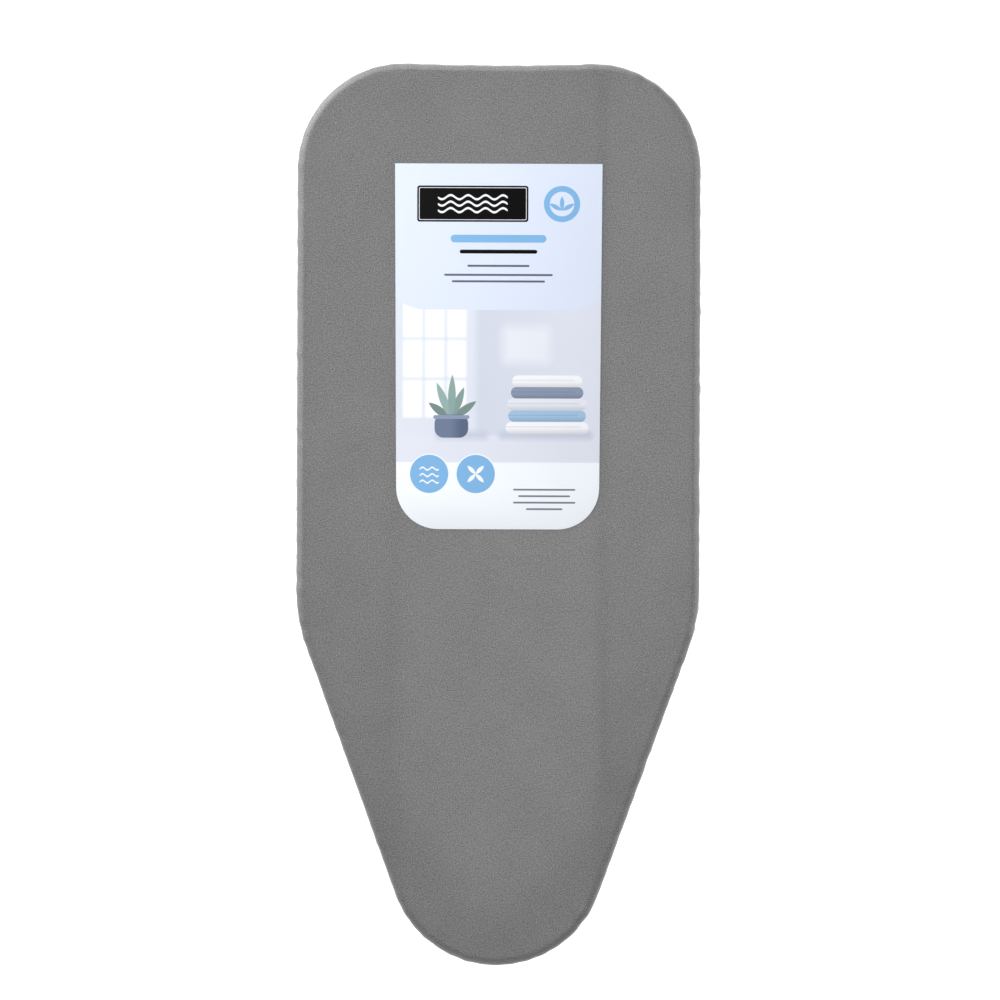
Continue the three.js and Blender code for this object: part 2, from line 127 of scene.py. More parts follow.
# Cloth cover: how its top falls off
crown_fall = 0.3 * MM
crown_ease = 3 * MM
crown_power = 1.15
taper_fall = 4 * MM
taper_start = 40 * MM
taper_reach = 180 * MM
nose_fall = 4.2 * MM
nose_start = -170 * MM
nose_reach = 130 * MM
nose_slope = 64 * MM
nose_power = 1.5
rim_fall = 0.4 * MM
rim_slope = 26 * MM
level_reach = 8 * MM
crease_fall = 0.7 * MM
crease_half = 8 * MM
crease_net_shares = np.arange(-1.25, 1.3, 0.25)

# Cloth cover: gathers, and the waves and seeds of their random draws
gather_pitch = 13 * MM
gather_depth = 3.2 * MM
gather_spread = 25 * MM
gather_power = 1.4
gather_wander = 2.2
wander_waves = 40
wander_seed = 3
vary_share = 0.25
vary_waves = 60
vary_seed = 5
side_tuck = 0.6 * MM
rim_tuck = 0.4 * MM
rim_tuck_reach = 13 * MM
rim_tuck_waves = 150
rim_tuck_seed = 9
straight_gather_share = 0.35
window_half = 12 * MM
gather_excess_share = 0.12
gather_cap = 1.8 * MM
gather_dip = 0.15 * MM
settle_steps = 16
settle_quality = 6
outline_count = 960
coarse_step = 4
top_grid = 5 * MM
top_border = 20 * MM

# Hem stitching and elastic, each section in shares of its width and height
stitch_pitch = 3.6 * MM
stitch_length = 2.7 * MM
stitch_radius = 0.3 * MM
stitch_inset = 23 * MM
stitch_sides = 6
stitch_lean = 0.1
stitch_tip_share = 0.05
stitch_sunk_share = 0.3
stitch_girths = ((-0.5, 0), (-0.46, 0.7), (-0.3, 1), (0.3, 1), (0.46, 0.7), (0.5, 0))
elastic_width = 4.6 * MM
elastic_section = ((0, 0.5), (0.04, 0.9), (0.1, 1), (0.5, 1), (0.9, 1), (0.96, 0.9), (1, 0.5))

# Felt pad
pad_inset = 3.2 * MM
pad_edge_radius = 4 * MM
pad_edge_points = 7
pad_chamfer = 1 * MM
pad_drop = 0.3 * MM
pad_grid = 12 * MM

# Expanded-steel deck
deck_inset = 5 * MM
deck_border = 8 * MM
cell_width = 11 * MM
cell_length = 22 * MM
strand_width = 1.6 * MM
strand_tilt = 0.2 * MM
cell_shoulder_share = 0.12

# Rails and cross rods
rail_corner = 1.6 * MM
rail_wall = 1 * MM
rail_end_inset = 15.1 * MM
rail_end_halvings = 40
weld_radius = 5.4 * MM
weld_length = 3.2 * MM
weld_points = 5

# Legs and feet
leg_radius = 6.5 * MM
leg_wall = 1.1 * MM
leg_splay = math.radians(18)
leg_end = 6 * MM
leg_flare = 18 * MM
leg_flare_start = 27 * MM
leg_flare_radius = 30 * MM
leg_bend_radius = 24 * MM
bar_height = 9 * MM
foot_radius = 9.3 * MM
foot_bore = 6.7 * MM
foot_points = 72
foot_lip = 1.2 * MM
lip_share = 0.3
groove_depth = 0.6 * MM
groove_half = 0.7 * MM
groove_floor_share = 0.6
groove_count = 6
sole_half = 8 * MM
sole_margin = 0.01 * MM
sole_sine = 0.5
sole_power = 12

# Card
card_taper = 1.75 * MM
card_corner = 32.5 * MM
card_corner_points = 16
card_slack = 0.1 * MM
card_edge = 0.08 * MM

# Brackets and washers
bracket_sheet = 1.5 * MM
bracket_radius = 11 * MM
bracket_skirt = 3 * MM
bracket_arc = (math.radians(200), math.radians(290))
bracket_arc_points = 14
bracket_bevel = 0.4 * MM
stop_start = 8 * MM
stop_end = 20 * MM
stop_offset = leg_radius + seat_gap
washer_play = 0.2 * MM
washer_edge = 0.25 * MM

# Rivets
head_gap = 0.02 * MM
pivot_radius = 3 * MM
pivot_head = 5.5 * MM
pivot_head_rim = 0.4 * MM
rivet_radius = 2 * MM
rivet_head = 3.6 * MM
rivet_head_rim = 0.2 * MM
rivet_dome_share = 0.8
rivet_sides = 28
stem_sink = 0.5 * MM
stem_share = 0.45
stem_flare_share = 1.15
bulb_share = 0.95
bulb_end_share = 0.9
bulb_edge = 0.4 * MM

# Looks: colours, and layers of noise with their pitch in millimetres, detail, stretch and weight in the tone
even = (1, 1, 1)
cloth_colour = (0.087, 0.087, 0.087)
cloth_layers = (
    (0.5, 2, (1, 12, 1), 0.7),
    (0.5, 2, (14, 1, 1), 0.75),
    (0.95, 2, even, 4.3),
    (1.3, 1, (9, 0.7, 1), 0.3),
    (45, 2, even, 0.4),
)
cloth_surface = {
    "Sheen Weight": 0.35,
    "Sheen Roughness": 0.4,
    "Specular IOR Level": 0.3,
    "Coat Weight": 1,
    "Coat Roughness": 0.42,
    "Coat IOR": 1.8,
}
cloth_roughness = 0.7
cloth_relief = 0.14 * MM
cloth_relief_strength = 0.7
weave_share = 0.3
thread_mm = 0.4
lint_colour = (0.4, 0.4, 0.4, 1)
lint_pitch = 1.2
lint_gain = 14
lint_cut = -11.9
felt_colour = (0.66, 0.645, 0.6)
felt_layers = ((0.8, 5, (3, 1, 1), 0.35), (0.8, 5, (1, 3, 1), 0.35), (18, 2, even, 0.2))
felt_relief = 0.5 * MM
elastic_colour = (0.76, 0.75, 0.71)
elastic_layers = ((0.35, 2, even, 0.5), (9, 2, even, 0.12))
elastic_relief = 0.2 * MM
frame_colour = (0.46, 0.47, 0.49)
leg_colour = (0.52, 0.53, 0.55)
paint_layers = ((0.9, 2, even, 0.05), (14, 4, even, 0.08))
paint_relief = 0.05 * MM
steel_colour = (0.6, 0.6, 0.6)
steel_layers = ((0.25, 3, even, 0.12), (3, 3, even, 0.2))
steel_relief = 0.02 * MM
plastic_weights = (0.12, 0.14)
plastic_broad_pitch = 8
plastic_relief = 0.06 * MM
thread_colour = (0.3, 0.3, 0.31)
nylon_colour = (0.75, 0.75, 0.71)
rubber_colour = (0.028, 0.028, 0.03)

# Card stock and its ink
card_surface = {"Specular IOR Level": 0.08}
card_layers = ((0.6, 2, even, 0.03), (40, 2, even, 0.03))
card_relief = 0.02 * MM
print_level = 0.81
print_gamma = 2.2
print_fade = 0.35

# Printed tones, 0 to 255
white = (247, 249, 253)
sky = (128, 180, 226)
dark = (3, 3, 4)
pale = (219, 228, 246)
line_grey = (96, 102, 116)
small_grey = (120, 127, 142)
contact_grey = (196, 203, 220)
leaf_green = (140, 166, 162)
wall_left = (200, 206, 221)
wall_right = (220, 225, 238)
wall_fade_mm = 110

# Print, in millimetres from the middle of the card's top edge: tone, middle, half size, corner and fade
window_plates = (((226, 231, 242), (-50, 150), (32, 70), 2, 9),)
pane_across = (-66, -49, -32)
pane_down = (120, 151, 182)
pane_shape = ((7.4, 14.4), 1.5, 2.6)
pane_tone = (247, 250, 255)
room_plates = (
    ((236, 240, 248), (22, 140), (16, 12), 3, 14),
    ((222, 226, 238), (0, 262), (100, 52), 1, 1.2),
    ((244, 249, 255), (0, 285), (100, 54), 1, 1),
    (contact_grey, (37, 210), (36, 3), 3, 5),
)
linen_across = 38
linen_half = 4.4
linen_corner = 4.2
linen_shade_share = 0.88
linen_shades = (((38, 5.5), (9, 3.4), 3, 4), ((35, -0.6), (-3, 0.3), 0.3, 0.7))
linens = (
    (32, 204, (243, 245, 250)),
    (30, 195, (160, 192, 224)),
    (31, 186, (228, 231, 240)),
    (28, 177, (138, 150, 174)),
    (27, 168, (244, 246, 250)),
)
pot_shadow = ((contact_grey, (-28, 210), (20, 3), 3, 6),)
sprig_root = (-36, 198)
sprig_width = 6
sprig = ((0.64, 24, 0.86), (2.5, 22, 0.84), (1.2, 27, 0.94), (1.95, 31, 1.05), (1.55, 35, 1))
pot_body = ((-36, 203), (13, 9), 7)
pot_tone = (112, 124, 150)
pot_shade = ((-24, 203), (7, 14), 3, 12)
pot_shade_tone = (84, 96, 122)
pot_rim = (((140, 152, 176), (-36, 196), (14, 1.5), 1.4),)
heading_plates = (
    (pale, (0, 30), (90, 83), 34),
    (dark, (-20, 31), (43, 14), 2),
    (white, (-20, 31), (41.6, 12.6), 1),
    (dark, (-20, 31), (41.2, 12.2), 1),
    (sky, (49, 31), (14, 14), 14),
    (pale, (49, 31), (9.5, 9.5), 9.5),
    (sky, (0, 58), (37, 3), 3),
    (dark, (0, 68), (30, 1.5), 1.5),
    (line_grey, (0, 79), (24, 0.8), 0.8),
    (line_grey, (0, 86), (42, 0.8), 0.8),
    (line_grey, (0, 91), (36, 0.8), 0.8),
)
foot_plates = (
    (white, (-53, 240), (15.6, 15.6), 15.6),
    (sky, (-53, 240), (14.8, 14.8), 14.8),
    (white, (-17, 240), (15.6, 15.6), 15.6),
    (sky, (-17, 240), (14.8, 14.8), 14.8),
    (small_grey, (36, 252), (24, 0.7), 0.6),
    (small_grey, (36, 257), (20, 0.7), 0.6),
    (small_grey, (36, 262), (24, 0.7), 0.6),
    (small_grey, (36, 267), (14, 0.7), 0.6),
)

# Print: waves by middles, half length, swing, pitch and half width, leaves by root, length, width and angles
waves = (
    (-20, (26, 31, 36), 27, 1.6, 13.5, 0.8),
    (-53, (236, 241, 246), 7.5, 1, 7.5, 0.6),
)
leaves = (
    ((49, 36), 11, 3.4, (0.5, 1.57, 2.64), sky),
    ((-17, 240), 9, 3, (0.8, 2.36, -0.8, -2.36), white),
)


# Meshes

def make_object(name, verts, faces, smooth_angle=sharp_angle, closed=True):
    """A mesh object, smooth but for edges sharper than the angle."""
    mesh = bpy.data.meshes.new(name)
    mesh.from_pydata([tuple(v) for v in verts], [], [tuple(f) for f in faces])
    mesh.validate()
    if closed:
        turned = bmesh.new()
        turned.from_mesh(mesh)
        bmesh.ops.recalc_face_normals(turned, faces=turned.faces)
        turned.to_mesh(mesh)
        turned.free()
    mesh.shade_smooth()
    mesh.set_sharp_from_angle(angle=smooth_angle)
    obj = bpy.data.objects.new(name, mesh)
    bpy.context.scene.collection.objects.link(obj)
    return obj


def apply_modifiers(obj):
    """Bakes the object's modifiers into its mesh."""
    depsgraph = bpy.context.evaluated_depsgraph_get()
    mesh = bpy.data.meshes.new_from_object(obj.evaluated_get(depsgraph))
    obj.modifiers.clear()
    obj.data = mesh
    return obj


def soften(obj, width):
    """Rounds the object's hard edges."""
    bevel = obj.modifiers.new("soften", "BEVEL")
    bevel.width = width
    bevel.segments = 2
    bevel.limit_method = "ANGLE"
    bevel.angle_limit = bevel_angle
    apply_modifiers(obj)
    obj.data.shade_smooth()
    obj.data.set_sharp_from_angle(angle=sharp_angle)
    return obj


def ring_faces(rings, count, closed=False):
    """Quads between successive rings of count points each."""
    faces = []
    last = rings if closed else rings - 1
    for ring in range(last):
        here = ring * count
        there = ((ring + 1) % rings) * count
        for i in range(count):
            j = (i + 1) % count
            faces.append((here + i, here + j, there + j, there + i))
    return faces


def filled(loops, extra=()):
    """Triangles over an outer loop less its holes, which also take in the extra loose points."""
    points = [Vector(p) for loop in loops for p in loop]
    faces = []
    first = 0
    for loop in loops:
        faces.append(list(range(first, first + len(loop))))
        first += len(loop)
    points += [Vector(p) for p in extra]
    verts, _, triangles, _, _, owners = delaunay_2d_cdt(points, [], faces, 1, net_hair)
    assert len(verts) == len(points)
    return [tri for tri, owner in zip(triangles, owners) if list(owner) == [0]]


def prism(name, loops, low, high):
    """A closed plate on a loop with holes, between two heights that are numbers or one per point."""
    flat = np.concatenate(loops)
    count = len(flat)
    bottom = np.column_stack([flat, np.broadcast_to(low, count)])
    top = np.column_stack([flat, np.broadcast_to(high, count)])
    triangles = filled(loops)
    faces = [tuple(i + count for i in tri) for tri in triangles]
    faces += [tuple(tri[::-1]) for tri in triangles]
    first = 0
    for loop in loops:
        for i in range(len(loop)):
            here = first + i
            there = first + (i + 1) % len(loop)
            faces.append((here, there, there + count, here + count))
        first += len(loop)
    return make_object(name, np.concatenate([bottom, top]), faces)


def lathe(name, profile, segments=36, ring=False):
    """Turned piece from (radius, height) pairs, about Z; a radius of zero is a pole."""
    verts = []
    rings = []
    for radius, height in profile:
        if radius == 0:
            rings.append([len(verts)] * segments)
            verts.append((0, 0, height))
            continue
        rings.append(list(range(len(verts), len(verts) + segments)))
        for i in range(segments):
            angle = TURN * i / segments
            verts.append((radius * math.cos(angle), radius * math.sin(angle), height))
    faces = []
    for here, there in zip(rings, rings[1:] + (rings[:1] if ring else [])):
        for i in range(segments):
            j = (i + 1) % segments
            corners = [here[i], here[j], there[j], there[i]]
            faces.append(tuple(dict.fromkeys(corners)))
    return make_object(name, verts, faces)


def bent_line(corners):
    """Points of straight runs joined by round bends; each corner is (point, bend radius)."""
    points = [Vector(corners[0][0])]
    for k in range(1, len(corners) - 1):
        corner = Vector(corners[k][0])
        back = (Vector(corners[k - 1][0]) - corner).normalized()
        ahead = (Vector(corners[k + 1][0]) - corner).normalized()
        half = back.angle(ahead) / 2
        radius = corners[k][1]
        centre = corner + (back + ahead).normalized() * (radius / math.sin(half))
        start = corner + back * (radius / math.tan(half))
        sweep = math.pi - 2 * half
        axis = ahead.cross(back).normalized()
        steps = max(4, math.ceil(radius * sweep / bend_step))
        for i in range(steps + 1):
            turn = Matrix.Rotation(sweep * i / steps, 3, axis)
            points.append(centre + turn @ (start - centre))
    points.append(Vector(corners[-1][0]))
    return points


def tube(name, points, radius, wall, plane_normal, sides=28):
    """Open-ended tube along points that lie in one plane."""
    up = Vector(plane_normal)
    rings = []
    last = len(points) - 1
    for inside in (False, True):
        reach = radius - wall if inside else radius
        for k in range(last, -1, -1) if inside else range(last + 1):
            ahead = points[min(k + 1, last)] - points[max(k - 1, 0)]
            side = ahead.normalized().cross(up)
            for i in range(sides):
                angle = TURN * i / sides
                outward = up * (reach * math.sin(angle)) + side * (reach * math.cos(angle))
                rings.append(points[k] + outward)
    return make_object(name, rings, ring_faces(2 * len(points), sides, closed=True))


def united(obj, others):
    """Adds other solids to obj as one closed surface."""
    for other in others:
        union = obj.modifiers.new("union", "BOOLEAN")
        union.operation = "UNION"
        union.solver = "EXACT"
        union.object = other
        apply_modifiers(obj)
        bpy.data.objects.remove(other)
    return obj


def middle_of(node):
    low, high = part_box(node)
    return (low + high) / 2


def half_of(node):
    """Half the size of a CAD node's box along each axis."""
    low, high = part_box(node)
    return [(end - start) / 2 for start, end in zip(low, high)]


def mirrored(profile):
    """Profile of a turned piece whose two ends are alike."""
    return profile + [(radius, -height) for radius, height in profile[::-1]]


def turned_to(facing):
    """Half a turn about Z for what faces the nose."""
    return Matrix.Rotation(0 if facing > 0 else 2 * QUARTER, 4, "Z")


def finish_piece(obj, body, slot, material, *replaced):
    """Gives a piece its material, and lets it ride on its body in place of CAD nodes."""
    obj.data.materials.clear()
    obj.data.materials.append(material)
    if replaced:
        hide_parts(*replaced)
    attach(obj, body)
    return obj


# Outline

def arc(centre, radius, start, end, count=60):
    """Points along an arc, its radius one number or one for each axis."""
    angles = np.linspace(start, end, count)
    return list(centre + radius * np.stack([np.cos(angles), np.sin(angles)], 1))


def hollow_run(start, corner, end, steps=40):
    """Quadratic curve between two points."""
    t = np.linspace(0, 1, steps)[:, None]
    return (1 - t) ** 2 * np.array(start) + 2 * t * (1 - t) * np.array(corner) + t**2 * np.array(end)


def board_outline(count):
    """Even points along the cover's edge from the tail's middle, their outward normals and its length."""
    corner_x = half_width - tail_corner_radius
    corner_y = half_length - tail_corner_radius
    nose_y = nose_radius - half_length
    knee_x = half_width - knee_radius
    rise = (knee_x * math.cos(taper_angle) + knee_radius - nose_radius) / math.sin(taper_angle)
    knee_y = nose_y + rise
    middle = half_length - tail_hollow
    runs = [
        hollow_run((0, middle), (-corner_x / 2, middle), (-corner_x, half_length)),
        arc((-corner_x, corner_y), tail_corner_radius, QUARTER, 2 * QUARTER),
        arc((-knee_x, knee_y), knee_radius, 2 * QUARTER, 2 * QUARTER + taper_angle),
        arc((0, nose_y), nose_radius, 2 * QUARTER + taper_angle, TURN - taper_angle),
        arc((knee_x, knee_y), knee_radius, -taper_angle, 0),
        arc((corner_x, corner_y), tail_corner_radius, 0, QUARTER),
        hollow_run((corner_x, half_length), (corner_x / 2, middle), (0, middle)),
    ]
    line = np.concatenate(runs)
    steps = np.linalg.norm(np.diff(line, axis=0), axis=1)
    line = line[np.concatenate([[True], steps > outline_hair])]
    along = np.concatenate([[0], np.cumsum(np.linalg.norm(np.diff(line, axis=0), axis=1))])
    want = np.linspace(0, along[-1], count, endpoint=False)
    points = np.stack([np.interp(want, along, line[:, k]) for k in range(2)], 1)
    tangent = np.roll(points, -1, 0) - np.roll(points, 1, 0)
    tangent /= np.linalg.norm(tangent, axis=1)[:, None]
    normals = np.stack([tangent[:, 1], -tangent[:, 0]], 1)
    return points, normals, along[-1]


outline, outline_normals, outline_length = board_outline(outline_count)
coarse_outline = outline[::coarse_step]
coarse_normals = outline_normals[::coarse_step]


def inset_of(xy):
    """How far points lie inside the cover's edge."""
    reach = np.full(len(xy), np.inf)
    for point, normal in zip(coarse_outline, coarse_normals):
        reach = np.minimum(reach, (point - xy) @ normal)
    return reach


def eased(share):
    share = np.clip(share, 0, 1)
    return share * share * (3 - 2 * share)


def crown_drop(xy):
    """How far the top lies below its middle: a step over each rail, and a fall to the edge and the nose."""
    inset = np.maximum(inset_of(xy), 0)
    inset = inset + level_reach * np.exp(-inset / level_reach)
    beyond = np.maximum(np.abs(xy[:, 0]) - rail_x, 0)
    share = beyond / (beyond + inset + crown_ease)
    taper = eased((taper_start - xy[:, 1]) / taper_reach)
    side = (crown_fall + (taper_fall - crown_fall) * taper) * share**crown_power
    nose = eased((nose_start - xy[:, 1]) / nose_reach)
    dome = nose_fall * nose * np.clip(1 - inset / nose_slope, 0, 1) ** nose_power
    rim = rim_fall * np.clip(1 - inset / rim_slope, 0, 1) ** 2
    step = eased((np.abs(xy[:, 0]) - rail_x + crease_half) / (2 * crease_half))
    return np.cbrt(side**3 + dome**3 + rim**3) + crease_fall * step


def filled_top(ring, spacing, margin):
    """Inner points and triangles that fill a ring of outline points with an even net."""
    columns = np.arange(0, half_width, spacing)
    crease_columns = rail_x + crease_half * crease_net_shares
    columns = np.array([x for x in columns if np.min(np.abs(crease_columns - x)) > spacing / 2])
    columns = np.sort(np.concatenate([columns, crease_columns]))
    columns = np.concatenate([-columns[:0:-1], columns])
    rows = np.arange(-half_length, half_length, spacing)
    grid = np.stack(np.meshgrid(columns, rows), -1).reshape(-1, 2)
    inner = grid[inset_of(grid) > margin + spacing / 2]
    return inner, filled([ring], inner)


# Cover

def profile_length(profile):
    return sum(math.hypot(*step) for step in np.diff(profile, axis=0))


def cover_profile():
    """The cloth's outer face from the top's border to the hem's folded end: inset and height."""
    side_top = surface_z - edge_fall
    side_bottom = flange_z + edge_radius
    drop = flange_z - casing_z
    fold_radius = (flange_z + cloth_thickness - casing_z) / 2
    fold_inset = hem_width - fold_radius
    points = [(top_border * share, surface_z) for share in border_shares]
    points += arc((edge_run, side_top), (edge_run, edge_fall), QUARTER, 2 * QUARTER, edge_points)
    points.append((0, (side_top + side_bottom) / 2))
    points += arc((edge_radius, side_bottom), edge_radius, 2 * QUARTER, 3 * QUARTER, turn_points)
    for share in flange_shares:
        points.append((edge_radius + (casing_start - edge_radius) * share, flange_z))
    for k, share in enumerate(casing_drop_shares):
        points.append((casing_start + casing_lean * k, flange_z - drop * share))
    for share in casing_shares:
        inset = casing_start + casing_lean + (fold_inset - casing_start - casing_lean) * share
        points.append((inset, casing_z))
    points += arc((fold_inset, casing_z + fold_radius), fold_radius, -QUARTER, QUARTER, fold_points)
    for share in fold_shares:
        inset = casing_start + fold_lean + (fold_inset - casing_start) * share
        points.append((inset, casing_z + 2 * fold_radius))
    return np.array(points)


def smooth_noise(count, waves, seed):
    """A closed curve of smooth noise round the outline, about -1 to 1."""
    local = np.random.default_rng(seed)
    phase = np.linspace(0, TURN, count, endpoint=False)
    total = np.zeros(count)
    for k in range(1, waves + 1):
        total += local.normal() * np.cos(k * phase + local.uniform(0, TURN))
    return total / np.abs(total).max()


def gather_wave():
    """Puckers round the hem: 0 where the cloth lies flat, 1 where it hangs lowest, deepest at the corners."""
    turned = np.roll(outline_normals, -1, 0) - np.roll(outline_normals, 1, 0)
    curve = np.linalg.norm(turned, axis=1) * outline_count / outline_length / 2
    reach = round(gather_spread * outline_count / outline_length)
    window = np.hanning(2 * reach + 1)
    padded = np.concatenate([curve[-reach:], curve, curve[:reach]])
    curve = np.convolve(padded, window / window.sum(), "valid")
    tightness = straight_gather_share + (1 - straight_gather_share) * eased(curve * nose_radius)
    count = round(outline_length / gather_pitch)
    phase = np.linspace(0, TURN * count, outline_count, endpoint=False)
    phase += gather_wander * smooth_noise(outline_count, wander_waves, wander_seed)
    wave = ((1 - np.cos(phase)) / 2) ** gather_power
    varied = 1 - vary_share + vary_share * smooth_noise(outline_count, vary_waves, vary_seed)
    return wave * tightness * varied


gathers = gather_wave()


def hem_drop(inset):
    """How far the gathers hang at an inset."""
    share = (inset - edge_radius) / (casing_start - edge_radius)
    return gather_depth * eased(share) * gathers


def edge_tuck(inset, height, rim_wave):
    """How far the cloth is drawn in at the edge: by the gathers low down, in small dimples over the tube."""
    if height < rim_z:
        return side_tuck * max(0, 1 - inset / edge_radius) * gathers
    side_top = surface_z - edge_fall
    down = eased((side_top - height) / (side_top - rim_z))
    near = eased(1 - inset / rim_tuck_reach)
    return side_tuck * down * gathers + rim_tuck * near * rim_wave


def settled(rings, profile):
    """Simulates the turned-under band as cloth a little too long for its place, held at edge and seam."""
    under = []
    for k, (inset, height) in enumerate(profile):
        if height < rim_z + edge_radius and inset < stitch_inset:
            under.append(k)
    first = under[0]
    last = under[-1] + 1
    band = np.array(rings[first:last])
    quads = ring_faces(len(band), outline_count)
    trial = make_object("band", band.reshape(-1, 3), quads, closed=False)
    held = trial.vertex_groups.new(name="held")
    end = (len(band) - 1) * outline_count
    held.add([*range(outline_count), *range(end, end + outline_count)], 1, "REPLACE")
    cloth = trial.modifiers.new("cloth", "CLOTH").settings
    cloth.quality = settle_quality
    cloth.vertex_group_mass = "held"
    cloth.shrink_min = -gather_excess_share
    cloth.shrink_max = -gather_excess_share
    cloth.effector_weights.gravity = 0
    scene = bpy.context.scene
    for step in range(1, settle_steps + 1):
        scene.frame_set(step)
    mesh = trial.evaluated_get(bpy.context.evaluated_depsgraph_get()).data
    moved = np.zeros(band.size, np.float32)
    mesh.vertices.foreach_get("co", moved)
    shift = moved.reshape(band.shape) - band
    scene.frame_set(1)
    bpy.data.objects.remove(trial)
    steps = np.gradient(profile, axis=0)[first:last]
    steps /= np.linalg.norm(steps, axis=1)[:, None]
    outward = np.empty(band.shape)
    outward[:, :, :2] = -outline_normals * steps[:, 1][:, None, None]
    outward[:, :, 2] = -steps[:, 0][:, None]
    reach = np.clip(np.sum(shift * outward, axis=2), -gather_dip, gather_cap)
    return rings[:first] + list(band + outward * reach[:, :, None]) + rings[last:]


def cover_rings(profile):
    """The cloth's outer face, ring by ring along its profile, and the same rings laid flat."""
    rim_wave = smooth_noise(outline_count, rim_tuck_waves, rim_tuck_seed)
    rings = []
    flat = []
    walked = 0
    for k, (inset, height) in enumerate(profile):
        if k:
            walked += math.hypot(*(profile[k] - profile[k - 1]))
        tuck = edge_tuck(inset, height, rim_wave)
        xy = outline - outline_normals * (inset + tuck)[:, None]
        lift = np.clip((height - rim_z) / (surface_z - rim_z), 0, 1)
        z = height - crown_drop(xy) * lift**2 - tuck * lift
        if height < rim_z:
            z = z - hem_drop(inset)
        rings.append(np.column_stack([xy, z]))
        flat.append(outline + outline_normals * (walked - top_border))
    return rings, flat


def in_window(face, verts, profile):
    """Whether a face of the casing's lower side lies in the slot that the elastic is threaded through."""
    ring = face[0] // outline_count
    inset, height = profile[ring]
    next_inset = profile[min(ring + 1, len(profile) - 1)][0]
    centre = verts[list(face)].mean(0)
    lower = height <= casing_z + hair and next_inset > inset > casing_start
    return lower and abs(centre[0]) < window_half and centre[1] > 0


def make_cover_mesh():
    profile = cover_profile()
    rings, flat = cover_rings(profile)
    rings = settled(rings, profile)
    inner, faces = filled_top(rings[0][:, :2], top_grid, top_border)
    inner_z = surface_z - crown_drop(inner)
    verts = np.concatenate(rings + [np.column_stack([inner, inner_z])])
    flat_xy = np.concatenate(flat + [inner])
    kept = []
    for face in ring_faces(len(rings), outline_count):
        if not in_window(face, verts, profile):
            kept.append(face[::-1])
    shift = (len(rings) - 1) * outline_count
    for face in faces:
        kept.append([i if i < outline_count else i + shift for i in face])
    obj = make_object("cloth_cover", verts, kept, cloth_sharp_angle, closed=False)
    layer = obj.data.uv_layers.new(name="cloth")
    index = np.zeros(len(obj.data.loops), int)
    obj.data.loops.foreach_get("vertex_index", index)
    layer.data.foreach_set("uv", flat_xy[index].astype(np.float32).ravel())
    return obj


def make_cover(material):
    obj = make_cover_mesh()
    solidify = obj.modifiers.new("thickness", "SOLIDIFY")
    solidify.thickness = cloth_thickness
    solidify.offset = -1
    apply_modifiers(obj)
    return finish_piece(obj, "board", "cover_cloth", material, "cover")


def make_elastic(material):
    """Woven elastic loop that follows the gathers inside the casing."""
    inner = hem_width - cover_wall - seat_gap
    outer = inner - elastic_width
    thick = elastic_high.z - elastic_low.z
    under_side = [(across, 1 - up) for across, up in elastic_section[-2:0:-1]]
    rings = []
    for across, up in [*elastic_section, *under_side]:
        inset = outer + (inner - outer) * across
        xy = outline - outline_normals * inset
        z = elastic_low.z + thick * up - hem_drop(inset)
        rings.append(np.column_stack([xy, z]))
    faces = ring_faces(len(rings), outline_count, closed=True)
    obj = make_object("elastic_loop", np.concatenate(rings), faces)
    return finish_piece(obj, "board", "elastic", material, "hem_elastic")


def between(values, place):
    """Value at a place between two points of the outline."""
    here = int(place)
    share = place - here
    return values[here] * (1 - share) + values[(here + 1) % outline_count] * share


def stitch_verts(middle, normal, height):
    """Points of one stitch round its length, set a little askew to the edge."""
    ahead = np.array([-normal[1], normal[0]])
    ahead = ahead * math.cos(stitch_lean) + normal * math.sin(stitch_lean)
    side = np.array([-ahead[1], ahead[0]])
    verts = []
    for along, girth in stitch_girths:
        spread = stitch_radius * max(girth, stitch_tip_share)
        for i in range(stitch_sides):
            angle = TURN * i / stitch_sides
            flat = middle + ahead * along * stitch_length + side * spread * math.cos(angle)
            verts.append((*flat, height + spread * math.sin(angle) - stitch_radius * stitch_sunk_share))
    return verts


def make_stitching(material):
    """The hem's seam: short stitches half sunk in the cloth, all in one piece."""
    count = round((outline_length - TURN * stitch_inset) / stitch_pitch)
    drop = hem_drop(stitch_inset)
    end = (len(stitch_girths) - 1) * stitch_sides
    one = ring_faces(len(stitch_girths), stitch_sides)
    one += [tuple(range(stitch_sides))[::-1], tuple(range(end, end + stitch_sides))]
    verts = []
    faces = []
    for k in range(count):
        place = k * outline_count / count
        normal = between(outline_normals, place)
        normal /= np.linalg.norm(normal)
        middle = between(outline, place) - normal * stitch_inset
        if abs(middle[0]) < window_half and middle[1] > 0:
            continue
        height = flange_z - between(drop, place)
        faces += [tuple(len(verts) + i for i in face) for face in one]
        verts += stitch_verts(middle, normal, height)
    obj = make_object("hem_stitching", verts, faces)
    return finish_piece(obj, "board", "cover_cloth", material)


# Felt pad

